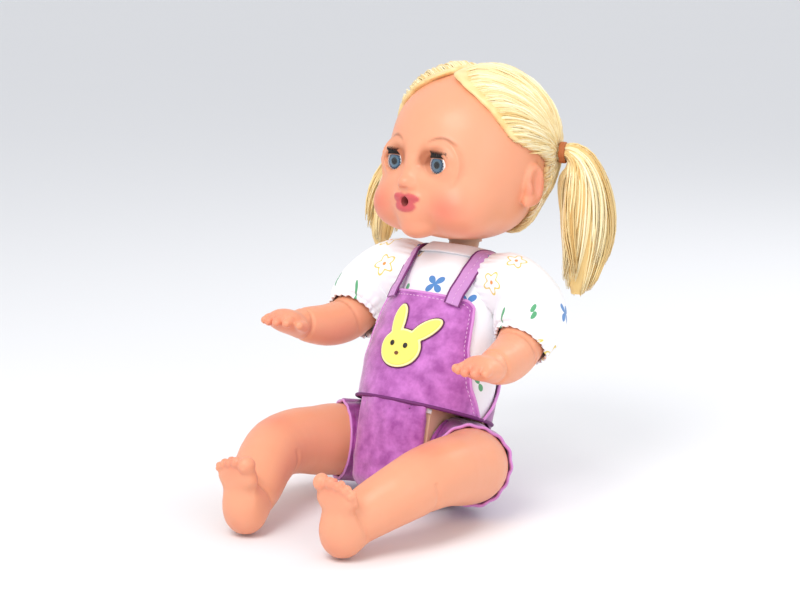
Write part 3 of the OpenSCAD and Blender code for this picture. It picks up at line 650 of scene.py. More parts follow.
def head_sdf(p):
    x = np.abs(p[:, 0])
    q = np.stack([x, p[:, 1], p[:, 2]], 1)
    f = head_base(p)
    f = smin(f, ell(q, (20, -25.5, 16.5), (14.5, 14.5, 12.5)), 9)
    f = smin(f, ell(q, (0, -35.5, 6.8), (8.5, 6.5, 5.6)), 7)
    f = smin(f, ell(q, (0, -38.5, 18.5), (10.5, 6.2, 8.5)), 6)
    f = smin(f, cone(q, (0, -41.5, 29), (0, -39.6, 39), 2.6, 1.6), 5)
    f = smin(f, ell(q, (0, -44.2, 28.8), (3.8, 3.9, 3.2)), 3)
    f = smin(f, ell(q, (3.2, -42.6, 27.5), (2.2, 2.4, 2.0)), 1.8)
    f = smax(f, -ell(q, (1.6, -46.6, 26.0), (0.8, 1.4, 0.7)), 0.8)
    # eye sockets, lids and openings
    f = smax(f, -ell(q, (ex + 0.3, -45.0, ez + 1.0), (9.6, 5.0, 7.6)), 5)
    f = smin(f, ball(q, (ex, ey, ez), 10.8), 1.8)
    u, w = x - ex, q[:, 2] - ez
    f = smin(f, np.maximum(np.hypot(u, w) - SOCKET_SKIN_R, np.abs(q[:, 1] - (ey + 2)) - SOCKET_SKIN_DEPTH),
        2.5)
    hole = eye_hole(u, w, np.clip(0.7 + 0.032 * (ey - q[:, 1]), 0.8, 1.3))
    f = f + 0.3 * gauss(hole - 2.3, 0.7) * (w > -1) * (q[:, 1] < -30)
    f = smax(f, -np.maximum(hole, q[:, 1] - ey), 0.7)
    f = smax(f, -np.maximum(ball(q, (ex, ey, ez), 9.4), f + 0.9), 0.3)
    tunnel = np.maximum(np.hypot(u, w) - 9.2, np.abs(q[:, 1] - (ey + 6)) - 6)
    f = smax(f, -np.maximum(tunnel, head_base(q) + 3.0), 0.3)
    # lips round the mouth's hole
    mz = 19.5
    f = smin(f, ell(q, (3.3, -42.8, mz + 2.6), (4.9, 2.3, 1.6)), 1.5)
    f = smin(f, ell(q, (0, -42.5, mz - 3.1), (6.2, 2.6, 2.1)), 1.6)
    f = smin(f, ell(q, (7.2, -40.6, mz - 0.2), (2.1, 1.7, 1.3)), 1.6)
    f = f + 0.5 * gauss(x, 1.2) * gauss(q[:, 2] - (mz + 6.2), 1.8) * (q[:, 1] < -38)
    ring = np.hypot(x, q[:, 2] - mz)
    f = smax(f, -np.maximum(ring - 2.3, q[:, 1] + 30), 0.9)
    f = smax(f, -np.maximum(np.maximum(ring - 4.05, q[:, 1] + 29), -43.7 - q[:, 1]), 0.2)
    # ears
    ear = ell(q, (40.2, 4.2, 29.8), (3.4, 6.2, 10.3))
    ear = smin(ear, ell(q, (39.6, 0.6, 21.8), (2.6, 3.0, 3.3)), 2)
    ear = smax(ear, -ell(q, (43.6, 3.2, 31.2), (2.6, 4.0, 7.0)), 1.5)
    ear = smin(ear, ell(q, (40.9, -0.2, 27.8), (1.9, 1.7, 2.6)), 1.5)
    ear = smin(ear, cone(q, (41.4, 6.0, 24.5), (41.6, 6.6, 35), 1.1, 1.1), 1.4)
    f = smin(f, ear, 2.2)
    # neck opening
    f = smax(f, -1.0 - p[:, 2], 2.5)
    f = smax(f, -np.maximum(np.hypot(p[:, 0], p[:, 1]) - 8.6, p[:, 2] - 9), 0.6)
    return f


def paint_head(p):
    x, y, z = np.abs(p[:, 0]), p[:, 1], p[:, 2]
    front = np.clip((-y - 20) / 10, 0, 1)
    blush = 0.62 * np.exp(-(((x - 22) / 9.5) ** 2 + ((z - 17) / 8) ** 2)) * front
    blush += 0.25 * gauss(x, 4) * gauss(z - 28, 3) * front + 0.2 * gauss(x, 7) * gauss(z - 7, 4) * front
    blush += 0.3 * np.clip((x - 39) / 3, 0, 1) * gauss(z - 29, 9)
    u, w = x - ex, z - ez
    hole = eye_hole(u, w, 1.04)
    shade = (0.85 * gauss(hole - 0.8, 2.2) * np.clip((w + 1) / 4, 0, 1)
             * np.clip(0.75 - u / 12, 0.25, 1) * front)
    shade += 0.75 * gauss(u + 7.6, 2.6) * gauss(w - 3.5, 5) * front + 0.25 * gauss(hole - 0.2, 0.7) * front
    mz = 19.5
    dx, dz = x, z - mz
    top = np.hypot((dx - 3.2) / 6.0, (dz - 1.7) / 2.7) - 1
    low = np.hypot(dx / 7.6, (dz + 2.2) / 3.3) - 1
    mouth = np.minimum(top, low)
    lips = np.clip(-mouth * 5, 0, 1) * (y < -38)
    # painted shade: a darker pink in and round the mouth's hole, where shadow falls
    inner = 0.8 * np.clip((2.9 - np.hypot(dx, dz)) / 0.7, 0, 1) * (y < -30)
    t = np.clip((x - (ex - 6.5)) / 15, 0, 1)
    line = ez + 10.6 + 3.0 * np.sin(t * math.pi) - 1.2 * t
    brow = 0.8 * gauss(z - line, 0.7) * ((x > ex - 6.5) & (x < ex + 8.5)) * np.sin(t * math.pi) ** 0.6 * front
    return {"blush": np.clip(blush, 0, 0.8), "shade": np.clip(shade, 0, 0.85),
            "lips": lips, "inner": inner, "brow": brow}


v, f = nets(head_sdf, (-45.5, -50, -2.5), (45.5, 45, 85), 0.8)
head = new_mesh("head_skin", v, f, HEAD_M, attr=paint_head(v))
head.data.materials.append(materials["skin_face"])
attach(head, "head")
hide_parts("head_shell")


# ---------------------------------------------------------------- hair
def hair_edge(z):
    return np.interp(z, HAIRLINE[:, 0], HAIRLINE[:, 1])


def hair_cut(p):
    """Below zero where hair grows, in millimetres from its edge."""
    turn = np.degrees(np.arctan2(np.abs(p[:, 0]), -(p[:, 1] - 0.5)))
    r = np.hypot(p[:, 0], p[:, 1])
    edge = (hair_edge(p[:, 2]) - turn) * math.pi / 180 * r
    return np.maximum(edge, 3.5 - p[:, 2])


def cap_sdf(p):
    base = head_base(p)
    f = smax(base - 2.6, hair_cut(p), 2.2)
    return smax(f, -(base + 0.6), 0.3)


v, f = nets(cap_sdf, (-44, -44, 1), (44, 47, 88), 1.1)
# the cap under the strands is toned darker than them: painted shade between the strands
tone = np.clip(0.42 + 0.1 * fold(v, 9, 3), 0, 1)
cap = new_mesh("hair_cap", v, f, HEAD_M, attr={"tone": tone})
cap.data.materials.append(materials["hair"])
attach(cap, "head")
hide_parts("hair_crown")

TIE_TURN, TIE_Z = 118, 45


def on_scalp(direction, lift):
    """The point on the skull in a direction from its middle, lifted off it."""
    c = np.array([0, 1.0, 42.0])
    d = direction / np.linalg.norm(direction, axis=-1, keepdims=True)
    lo, hi = np.full(d.shape[:-1], 20.0), np.full(d.shape[:-1], 60.0)
    for _ in range(18):
        mid = (lo + hi) / 2
        inside = head_base((c + d * mid[..., None]).reshape(-1, 3)).reshape(mid.shape) < 0
        lo, hi = np.where(inside, mid, lo), np.where(inside, hi, mid)
    return c + d * (lo + lift)[..., None]


def level_skin(z, turn):
    """The skull's surface at a height, going round from the front."""
    lo, hi = np.zeros(len(z)), np.full(len(z), 60.0)
    for _ in range(18):
        mid = (lo + hi) / 2
        p = np.stack([mid * np.sin(turn), 0.5 - mid * np.cos(turn), z], 1)
        inside = head_base(p) < -0.6
        lo, hi = np.where(inside, mid, lo), np.where(inside, hi, mid)
    return np.stack([lo * np.sin(turn), 0.5 - lo * np.cos(turn), z], 1)


def tie_frame(side):
    t = math.radians(TIE_TURN)
    outward = np.array([[39.7 * math.sin(t), -42 * math.cos(t) - 1.8, TIE_Z - 42.0]])
    base = on_scalp(outward, np.array([4.3]))[0]
    m = Matrix.Translation(Vector(base) * MM) @ Matrix.Rotation(math.radians(27), 4, "Z")
    return HEAD_M @ Matrix.Diagonal((side, 1, 1, 1)) @ m, base


def scalp_strands(side):
    """Strands from the parting, the hairline and the nape, all drawn to the tie."""
    c = np.array([0, 1.0, 42.0])
    _, base = tie_frame(1)
    zs = np.linspace(83.0, 5, 500)
    e = np.radians(hair_edge(zs) + 1.0)
    front = level_skin(zs, e)
    a = np.radians(np.linspace(-12, 150, 300))
    part = on_scalp(np.stack([np.full_like(a, 0.02), np.sin(a), np.cos(a)], 1), np.full(len(a), 1.0))
    t = np.linspace(0, 1, 60)
    nape = np.stack([0.4 + 33 * t, 38 - 14 * t, np.full_like(t, 5.0)], 1)

    def even(line, count):
        d = np.concatenate([[0], np.cumsum(np.linalg.norm(np.diff(line, axis=0), axis=1))])
        at = np.sort(rng.uniform(0, d[-1], count))
        return np.stack([np.interp(at, d, line[:, k]) for k in range(3)], 1), at
    sets = [even(front, 620), even(part, 640), even(nape, 90)]
    roots = np.concatenate([r_[0] for r_ in sets])
    lock = np.concatenate([r_[1] for r_ in sets])
    n = len(roots)
    roots = roots + rng.normal(0, 0.5, roots.shape)
    roots[:, 0] = np.maximum(roots[:, 0], 0.3)
    d0 = roots - c
    d1 = np.broadcast_to(base - c, d0.shape) + rng.normal(0, 1.3, d0.shape)
    d0 = d0 / np.linalg.norm(d0, axis=1, keepdims=True)
    d1 = d1 / np.linalg.norm(d1, axis=1, keepdims=True)
    steps = 13
    s = (np.linspace(0, 1, steps) ** 1.15)[None, :, None]
    ang = np.arccos(np.clip((d0 * d1).sum(1), -1, 1))[:, None, None]
    d = (np.sin((1 - s) * ang) * d0[:, None] + np.sin(s * ang) * d1[:, None]) / np.maximum(np.sin(ang), 1e-3)
    d[..., 2:3] += 0.10 * np.sin(s * math.pi) * np.clip(d0[:, None, 2:3], 0, 1)
    body = np.clip(s[0, :, 0] / 0.16, 0, 1) ** 0.7
    wave = 0.6 * np.sin(lock * 1.1) + 0.35 * np.sin(lock * 2.7 + 1)
    lift = 0.3 + body[None] * (2.8 + rng.uniform(0, 1.2, n)[:, None] + 0.5 * wave[:, None])
    lift += 1.5 * np.sin(s[..., 0] * math.pi) ** 0.8 * np.clip(d0[:, 2:3], 0, 1)
    pts = on_scalp(d, lift)
    sway = np.stack([np.sin(s[..., 0] * 9 + k) for k in rng.uniform(0, 6, (3, n, 1))], -1)
    pts += 0.35 * sway * np.sin(s * math.pi)
    width = np.interp(np.linspace(0, 1, steps), [0, 0.15, 0.75, 1], [0.3, 0.62, 0.55, 0.38])
    radii = width[None] * rng.uniform(0.7, 1.25, n)[:, None]
    tone = 0.68 + 0.22 * np.sin(lock * 0.9) * np.sin(lock * 2.3) + rng.normal(0, 0.13, n)
    run = np.linspace(0, 1, steps)[None]
    # painted shade: each strand darker at its root on the scalp and where the strands gather at the tie
    tone = np.clip(np.clip(tone, 0.15, 1)[:, None] - 0.3 * np.exp(-run / 0.05) - 0.2 * run ** 4, 0, 1)
    pts[..., 0] = np.maximum(pts[..., 0], 0.2)
    pts[..., 0] *= side
    v, f = tubes(pts, radii, 4, 0.7)
    # a dark line along the hairline: painted shade where the hair leaves the skin
    line = front.copy()
    line[:, 0] *= side
    v2, f2 = tubes(line[None], np.full((1, len(line)), 0.75), 4)
    tones = np.concatenate([np.repeat(tone.ravel(), 4), np.full(len(v2), 0.06)])
    return np.concatenate([v, v2]), np.concatenate([f, f2 + len(v)]), tones


def tail_strands(side):
    """Locks of long strands hanging from the tie, in the tie's own frame."""
    path = TAILS[side]
    locks, each, steps = 18, 30, 18
    s = np.linspace(0, len(path) - 1, steps)
    t = np.linspace(0, 1, steps)
    mid = along(path, s)
    _, u, w = carry(mid[:, :3], (0, 1, 0))
    i = np.repeat(np.arange(locks), each)
    n = len(i)
    la = (np.arange(locks) * 2.399 + 0.4 * side)[i][:, None]
    lr = (np.sqrt((np.arange(locks) + 0.5) / locks) * 0.74)[i][:, None]
    phase = rng.uniform(0, 6.28, (2, locks))[:, i][..., None]
    length = rng.uniform(0.8, 1.0, locks)[i] * rng.uniform(0.93, 1.0, n)
    at = la + 0.30 * np.sin(0.9 * s[None] + phase[0])
    spread = lr * (1 + 0.35 * t[None] ** 1.5 + 0.12 * np.sin(1.4 * s[None] + phase[1]))
    a = rng.uniform(0, 2 * math.pi, n)[:, None] + 0.5 * np.sin(0.8 * s[None] + phase[1])
    taper = np.interp(t, [0, 0.15, 0.7, 1], [0.9, 1, 0.85, 0.3])
    r = np.sqrt(rng.uniform(0, 1, n))[:, None] * 0.36 * taper[None]
    across = spread * np.cos(at) + r * np.cos(a)
    over = spread * np.sin(at) + r * np.sin(a)
    rad = mid[:, 3][None] * np.interp(t, [0, 0.8, 1], [1, 1, 1.8])[None]
    paths = mid[None, :, :3] + rad[..., None] * (across[..., None] * u[None] + over[..., None] * w[None])
    for k in range(n):
        q = np.linspace(0, (steps - 1) * length[k], steps)
        paths[k] = np.stack([np.interp(q, np.arange(steps), paths[k, :, c]) for c in range(3)], 1)
    width = np.interp(t, [0, 0.1, 0.3, 0.8, 1], [0.32, 0.34, 0.62, 0.6, 0.14])
    radii = width[None] * rng.uniform(0.7, 1.3, n)[:, None]
    lock = rng.uniform(0.2, 1.0, locks)[i]
    tone = np.clip(0.2 + 0.6 * lock + rng.normal(0, 0.12, n), 0, 1)[:, None] + 0 * radii
    v, f = tubes(paths, radii, 4, 0.7)
    return v, f, np.repeat(np.clip(tone, 0, 1).ravel(), 4)


def tail_core(p, side):
    s = np.linspace(0.6, len(TAILS[side]) - 1.35, 20)
    m = along(TAILS[side], s)
    f = np.full(len(p), 1e3)
    for a, b in zip(m[:-1], m[1:]):
        f = smin(f, cone(p, a[:3], b[:3], a[3] * 0.72, b[3] * 0.72), 1.0)
    return f


for side, name in ((1, "left"), (-1, "right")):
    v, f, tone = scalp_strands(side)
    o = new_mesh(f"{name}_scalp_hair", v, f, HEAD_M, attr={"tone": tone}, flip=side < 0)
    dress(o, materials["hair"], "head")
    tie_m, _ = tie_frame(side)
    v, f, tone = tail_strands(side)
    # a core inside the tail, toned darker than its strands: painted shade inside the lock
    tv, tf = nets(lambda q, side=side: tail_core(q, side), (-4, -38, -70), (46, 18, 9), 1.3)
    full_v = np.concatenate([v, tv])
    full_f = np.concatenate([f, tf + len(v)])
    o = new_mesh(f"{name}_tail_hair", full_v, full_f, tie_m,
                 attr={"tone": np.concatenate([tone, np.full(len(tv), 0.3)])})
    dress(o, materials["hair"], "head", [f"{name}_ponytail"])
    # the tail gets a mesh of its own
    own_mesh(o)
    # an elastic wound three times
    g = np.linspace(0, 2 * math.pi * 3, 110)
    line = np.stack([2.6 + 1.0 * (g / g[-1] - 0.5) * 2.2, 4.6 * np.cos(g), 4.6 * np.sin(g)], 1)
    line += 0.12 * np.sin(g * 7)[:, None]
    v, f = tubes(line[None], np.full((1, len(g)), 0.85), 8)
    o = new_mesh(f"{name}_hair_band", v, f, tie_m)
    dress(o, materials["band"], "head", [f"{name}_hair_tie"])


# ---------------------------------------------------------------- eyes
def iris_material():
    m = Mat("iris_painted", lin(90, 130, 160), 0.3)
    sep = m.n("SeparateXYZ")
    m.put(sep.inputs[0], m.n("UVMap", uv_map="UVMap").outputs[0])
    r, a = sep.outputs[0], sep.outputs[1]
    rays = m.math("SINE", m.mul(a, 6.2832 * 46))
    rays2 = m.math("SINE", m.mul(a, 6.2832 * 17))
    wob = m.add(m.mul(rays, 0.04), m.mul(rays2, 0.05))
    c = m.ramp(m.add(r, wob), [
        (0.36, lin(10, 12, 16)), (0.42, lin(120, 150, 165)), (0.62, lin(108, 150, 182)),
        (0.8, lin(58, 92, 128)), (0.89, lin(16, 26, 44)), (0.93, lin(240, 243, 246))])
    m.color(c)
    return m.m


iris_mat = iris_material()


def eye_frame(side):
    return HEAD_M @ Matrix.Diagonal((side, 1, 1, 1)) @ Matrix.Translation(EYE * MM)


for side, name in ((1, "left"), (-1, "right")):
    body = f"{name}_eye"
    em = eye_frame(side)
    rr = np.linspace(0.0, 1.0, 26)
    aa = np.linspace(0, 2 * math.pi, 97)
    R_, A_ = np.meshgrid(rr, aa, indexing="ij")
    depth = -7.05 - 0.5 * np.exp(-((R_ - 0.72) / 0.22) ** 2) * 0.35 - 0.2 * (R_ < 0.36)
    pts = np.stack([4.33 * R_ * np.cos(A_), depth, 4.33 * R_ * np.sin(A_)], -1).reshape(-1, 3)
    uv = np.stack([R_, A_ / (2 * math.pi)], -1).reshape(-1, 2)
    o = new_mesh(f"{name}_iris_painted", pts, grid_faces(26, 97), em, uv=uv)
    solidify(o, 0.3, 0)
    dress(o, iris_mat, body, [f"{name}_iris"])
    # lashes: tapered fibres in two rows along the lid's edge
    n, steps = 64, 8
    spread = np.radians(np.linspace(-34, 34, n))
    s = np.linspace(0, 1, steps)
    row = np.arange(n) % 2
    long = (2.5 + 0.5 * row) * (1 - 0.25 * (spread / spread.max()) ** 2)
    rad = 9.12 + long[:, None] * s[None]
    e = 23.0 - 2.5 * (spread / 0.6)[:, None] ** 2 + 13 * s[None] ** 1.4 + 1.2 * row[:, None]
    sp = spread[:, None] * (1 + 0.12 * s[None]) + rng.normal(0, 0.012, (n, 1)) * s[None]
    e = np.radians(e)
    pts = rad[..., None] * np.stack([np.sin(sp) * np.cos(e), -np.cos(sp) * np.cos(e), np.sin(e)], -1)
    v, f = tubes(pts, np.broadcast_to(np.interp(s, [0, 0.5, 1], [0.15, 0.11, 0.03]), (n, steps)), 4)
    o = new_mesh(f"{name}_lash_fibres", v, f, em)
    dress(o, materials["lash"], body, [f"{name}_lashes"])


# ---------------------------------------------------------------- limbs
def chain(p, path, k=1.5, first=0, last=None, samples=24):
    last = len(path) - 1 if last is None else last
    m = along(path, np.linspace(first, last, samples))
    f = np.full(len(p), 1e3)
    for a, b in zip(m[:-1], m[1:]):
        f = smin(f, cone(p, a[:3], b[:3], a[3], b[3]), k)
    return f


def arm_sdf(p):
    f = chain(p, ARM)
    f = smax(f, 0.4 - p[:, 0], 1.0)
    wrist = ARM[-1, :3]
    palm = np.array([33.6, -43.5, -46.8])
    f = smin(f, ell(p, palm, (9.6, 9.5, 6.0)), 3.0)
    f = smin(f, ell(p, palm + (0, -5.0, -1.4), (9.2, 6.0, 4.6)), 2.5)
    for k, (dx, ln, r, fan) in enumerate(((-6.4, 5.6, 2.45, -0.25), (-2.2, 7.4, 2.55, -0.06),
            (2.1, 7.0, 2.5, 0.1), (6.2, 4.8, 2.3, 0.3))):
        a = np.array([34.0 + dx * 0.95, -48.6, -48.2])
        mid = a + ln * 0.55 * np.array([fan, -0.97, -0.18])
        tip = mid + ln * 0.5 * np.array([fan * 0.6, -0.72, -0.65])
        finger = smin(cone(p, a, mid, r, r * 0.98), cone(p, mid, tip, r * 0.98, r * 0.86), 0.8)
        f = smin(f, finger, 0.9)
        f = smin(f, ball(p, a + (0, 1.6, 2.0), 2.0), 1.6)
    a = np.array([27.4, -40.5, -47.2])
    mid, tip = a + (-4.2, -4.0, -1.2), a + (-5.4, -8.6, -2.2)
    f = smin(f, smin(cone(p, a, mid, 3.2, 2.7), cone(p, mid, tip, 2.7, 2.2), 0.8), 1.8)
    # creases at wrist and elbow
    d = (p - wrist) @ np.array([0.15, -0.93, -0.3])
    f = f + 0.75 * gauss(d + 0.5, 0.9)
    elbow = along(ARM, np.array([5.2]))[0, :3]
    d = (p - elbow) @ np.array([0.1, -0.75, -0.62])
    f = f + 0.5 * gauss(d, 1.1) * np.clip((p[:, 1] - elbow[1] < 4) * 1.0, 0, 1) * (p[:, 2] > elbow[2] - 4)
    return f


def paint_limb(p, centres):
    b = np.zeros(len(p))
    for c, r, k in centres:
        b += k * np.exp(-((p - np.array(c)) ** 2).sum(1) / r ** 2)
    return {"blush": np.clip(b, 0, 0.6)}


av, af = nets(arm_sdf, (-1, -66, -62), (49, 15, 15), 0.75)
arm_paint = paint_limb(av, [((34, -56, -50), 7, 0.35), ((30, -6, -34), 8, 0.25), ((27, -46, -49), 5, 0.2)])
shoulder_m = {s: arm_frame(s) for s in (1, -1)}
for side, name in ((1, "left"), (-1, "right")):
    o = new_mesh(f"{name}_arm_skin", av, af, shoulder_m[side], attr=arm_paint)
    dress(o, materials["skin_body"], f"{name}_arm", [f"{name}_arm"])


def leg_sdf(p):
    f = chain(p, LEG, 2.0, samples=34)
    f = smax(f, 0.4 - p[:, 0], 1.0)
    # foot: heel, instep and ball of the foot, sole facing forward
    foot = ell(p, (9.0, -95.2, -14.2), (9.4, 8.6, 9.6))
    foot = smin(foot, ell(p, (9.2, -97.2, -4.5), (9.0, 7.2, 9.5)), 4)
    foot = smin(foot, ell(p, (9.6, -99.0, 4.5), (10.9, 6.0, 6.8)), 4)
    foot = smax(foot, -(p[:, 1] + 104.8), 3.5)
    foot = foot + 0.9 * gauss(p[:, 0] - 3.5, 4) * gauss(p[:, 2] + 4, 6) * (p[:, 1] < -99)
    f = smin(f, foot, 4.5)
    for k, (dx, r, dz) in enumerate(((-7.4, 3.9, 1.2), (-1.9, 3.0, 1.6), (2.4, 2.75, 0.8), (6.2, 2.5, -0.6),
            (9.4, 2.2, -2.4))):
        c = np.array([9.9 + dx, -101.0, 10.6 + dz])
        f = smin(f, ell(p, c, (r, r * 1.15, r * 1.05)), 1.0)
        f = smin(f, cone(p, c, c + (0, 1.5, -4), r * 0.8, r * 0.8), 1.2)
    # folds at ankle and knee
    ankle = along(LEG, np.array([12.1]))[0, :3]
    d = (p - ankle) @ np.array([-0.35, -0.82, -0.4])
    f = f + 0.8 * gauss(d, 1.1) * (p[:, 2] > ankle[2] - 6)
    knee = along(LEG, np.array([9.4]))[0, :3]
    d = (p - knee) @ np.array([-0.2, -0.95, -0.2])
    f = f + 0.6 * gauss(d, 1.3) * (p[:, 2] < knee[2] + 3)
    f = f - 0.7 * ball_weight(p, knee + np.array([1, 0, 11]), 7)
    return smax(f, -23.6 - p[:, 2], 1.0)


def ball_weight(p, c, r):
    return np.exp(-((p - c) ** 2).sum(1) / r ** 2)


lv, lf = nets(leg_sdf, (-5, -108, -26), (46, 20, 28), 0.9)
leg_paint = paint_limb(lv, [((24, -56, 20), 9, 0.35), ((10, -102, 12), 8, 0.3), ((9, -100, -18), 8, 0.2)])
for side, name in ((1, "left"), (-1, "right")):
    o = new_mesh(f"{name}_leg_skin", lv, lf, leg_frame(side), attr=leg_paint)
    dress(o, materials["skin_body"], f"{name}_leg", [f"{name}_leg"])

# ---------------------------------------------------------------- shirt
sh_t = TORSO_M.inverted() @ Vector(joints["left_arm_raise"]["pos_m"]) / MM


def cloth(name, P, matrix=TORSO_M, material=None, body="torso", replace=(),
          thick=0.7, keep=None):
    """A cloth panel from a grid of points (rows, columns).

    Its UV map holds the lengths along its rows and columns, in metres.
    """
    rows, cols = P.shape[:2]
    du = np.linalg.norm(np.diff(P, axis=1), axis=2)
    dv = np.linalg.norm(np.diff(P, axis=0), axis=2)
    u = np.concatenate([np.zeros((rows, 1)), np.cumsum(du, 1)], 1)
    u = u - u[:, [cols // 2]]
    v = np.concatenate([np.zeros((1, cols)), np.cumsum(dv, 0)], 0)
    f = grid_faces(rows, cols)
    if keep is not None:
        f = f[keep.ravel()[f].any(1)]
    used, f2 = np.unique(f, return_inverse=True)
    pts = P.reshape(-1, 3)[used]
    uv = np.stack([u, v], -1).reshape(-1, 2)[used] * MM
    o = new_mesh(name, pts, f2.reshape(f.shape), matrix, uv=uv)
    solidify(o, thick)
    dress(o, material, body, replace)
    return o


z = np.linspace(17.5, 100.2, 80)
turn = np.linspace(-176, 176, 150)
Z, T = np.meshgrid(z, turn, indexing="ij")
flatp = np.stack([T / 3, Z, Z * 0], -1).reshape(-1, 3)
wr = fold(flatp, 22, 11).reshape(Z.shape)
P = on_torso(Z, T, 1.35 + 0.3 * wr)
rho = np.hypot(P[..., 1] - sh_t.y, P[..., 2] - sh_t.z)
hole = (np.abs(P[..., 0]) > 16) & (rho < ARM_HOLE_R)
k = np.maximum(ARM_HOLE_R / np.maximum(rho, 1e-6), 1)
P[..., 1] = np.where(hole, sh_t.y + (P[..., 1] - sh_t.y) * k, P[..., 1])
P[..., 2] = np.where(hole, sh_t.z + (P[..., 2] - sh_t.z) * k, P[..., 2])
low = (np.abs(P[..., 0]) > 19.8) & (Z < 20.7)
cloth("shirt_cloth", P, material=materials["print"], replace=["shirt_body"],
      keep=~(hole | low))


def doubled_strip(mid, t, up, width, thick, cols=29):
    """A strip of cloth folded double along its length and pressed flat, as rings round its section."""
    across = np.cross(t, up)
    across /= np.linalg.norm(across, axis=1, keepdims=True)
    g = -np.linspace(0, 2 * math.pi, cols)
    c, h = np.cos(g), np.sin(g)
    wide = np.sign(c) * np.abs(c) ** 0.6 / 2
    high = (np.sign(h) * np.abs(h) ** 0.8 + 1) / 2 * thick
    width = np.broadcast_to(width, len(mid))
    return (mid[:, None] + across[:, None] * (width[:, None] * wide)[..., None]
            + up[:, None] * high[None, :, None])


# the neckband lies on the shoulders and rises towards the neck, higher behind than under the chin
T = np.linspace(-176, 176, 160)
g = np.radians(T)
foot = on_torso(np.full(len(T), 96.5), T, 1.8)
rim = np.stack([15.2 * np.sin(g), -14.0 * np.cos(g), 104.3 - 1.2 * np.cos(g)], 1)
t = np.gradient((foot + rim) / 2, axis=0)
up = np.cross(t, rim - foot)
up /= np.linalg.norm(up, axis=1, keepdims=True)
band = doubled_strip((foot + rim) / 2, t, up, np.linalg.norm(rim - foot, axis=1), 1.3)
band = band + 0.1 * up[:, None] * np.sin(g * 60)[:, None, None]
cloth("collar_band", band, material=materials["white_cloth"], replace=["shirt_collar"],
      thick=0.4)


def tube_cloth(path, rows, cols, first, ripple, lo=0.0, hi=None):
    hi = len(path) - 1 if hi is None else hi
    s = np.linspace(lo, hi, rows)
    m = along(path, s)
    _, u, w = carry(m[:, :3], first)
    a = np.linspace(0, 2 * math.pi, cols)
    r = m[:, 3][:, None] + ripple(s[:, None] / (len(path) - 1), a[None])
    round_ = np.cos(a)[None, :, None] * u[:, None] + np.sin(a)[None, :, None] * w[:, None]
    return m[:, None, :3] + r[..., None] * round_


def sleeve_ripple(seed):
    r = np.random.default_rng(seed)
    ph = r.uniform(0, 6.28, 6)

    def go(s, a):
        hem = np.clip((s - 0.75) / 0.25, 0, 1)
        seam = np.clip((s - 0.12) / 0.1, 0, 1) * np.clip((0.5 - s) / 0.3, 0, 1)
        free = np.clip((s - 0.2) / 0.3, 0, 1)
        out = 0.55 * hem * np.sin(22 * a + ph[0] + np.sin(3 * a)) + 0.4 * seam * np.sin(26 * a + ph[1])
        puff = 0.55 * np.sin(3 * a + ph[2] + 5 * s) + 0.45 * np.sin(5 * a + ph[3] - 7 * s)
        out = out + free * puff * np.sin(math.pi * s)
        out = out + 1.5 * free * np.sin(math.pi * np.clip((s - 0.2) / 0.8, 0, 1))
        out = out + 0.3 * np.sin(9 * a + ph[4] + 6 * s) * hem ** 0.5
        return out - 0.9 * gauss(s - 0.93, 0.035) + 0.4 * gauss(s - 1.0, 0.03)
    return go


for side, name in ((1, "left"), (-1, "right")):
    P = tube_cloth(SLEEVE, 76, 140, (0, 1, 0), sleeve_ripple(5 + side))
    cloth(f"{name}_sleeve_cloth", P, matrix=shoulder_m[side], material=materials["print"], body=f"{name}_arm",
          replace=[f"{name}_sleeve"])

# ---------------------------------------------------------------- dungarees


def edge_trim(name, line, radius, material, body="torso", matrix=TORSO_M):
    v, f = tubes(np.asarray(line)[None], np.full((1, len(line)), radius), 8)
    o = new_mesh(name, v, f, matrix)
    dress(o, material, body)
    return o


def stitches(name, line, material, body="torso", matrix=TORSO_M, pitch=2.2, length=1.3,
        r=0.2):
    """Short raised threads in a row along a line."""
    line = np.asarray(line)
    d = np.concatenate([[0], np.cumsum(np.linalg.norm(np.diff(line, axis=0), axis=1))])
    n = max(2, int(d[-1] / pitch))
    starts = np.linspace(0, d[-1] - length, n)
    s = np.linspace(0, 1, 5)
    at = starts[:, None] + length * s[None]
    paths = np.stack([np.interp(at, d, line[:, c]) for c in range(3)], -1)
    radii = np.broadcast_to(r * np.array([0.5, 1, 1.1, 1, 0.5]), (n, 5))
    v, f = tubes(paths, radii, 4)
    o = new_mesh(name, v, f, matrix)
    dress(o, material, body)
    return o


def bib_edge(z):
    return np.interp(z, [20, 34, 52, 76], [86, 68, 58, 54])


def bib_out(Z, T):
    q = np.stack([T / 2.2, Z, Z * 0], -1).reshape(-1, 3)
    n = fold(q, 26, 21).reshape(Z.shape)
    pulls = 0.5 * np.sin((T + Z * 1.4) * 0.16) * np.clip((32 - Z) / 14, 0, 1) * np.clip((Z - 21) / 6, 0, 1)
    return 3.2 + 0.35 * n + 0.5 * pulls * np.clip((np.abs(T) - 18) / 20, 0, 1)


rows, cols = 80, 110
z = np.linspace(20.6, 75, rows)
s = np.linspace(-1, 1, cols)
Z = np.broadcast_to(z[:, None], (rows, cols)).copy()
T = s[None] * bib_edge(z)[:, None]
corner = np.clip((np.abs(s) - 0.8) / 0.2, 0, 1)[None] ** 2 * np.clip((Z - 65) / 10, 0, 1)
Z = Z - 3 * corner
bib = on_torso(Z, T, bib_out(Z, T))
cloth("bib_cloth", bib, material=materials["purple"], replace=["dungaree_bib"],
      thick=1.1)
border = np.concatenate([bib[:, 0], bib[-1, 1:], bib[::-1, -1][1:]])
edge_trim("bib_edge_binding", border, 0.75, materials["trim"])
inset = on_torso(Z, T * 0.93, bib_out(Z, T * 0.93) + 0.05)
inset_line = np.concatenate([inset[:-4, 0], inset[-4, 1:], inset[:-4][::-1, -1][1:]])
stitches("bib_stitches", inset_line, materials["stitch"])


def back_edge(z):
    return np.interp(z, [20, 36, 65], [88, 118, 132])


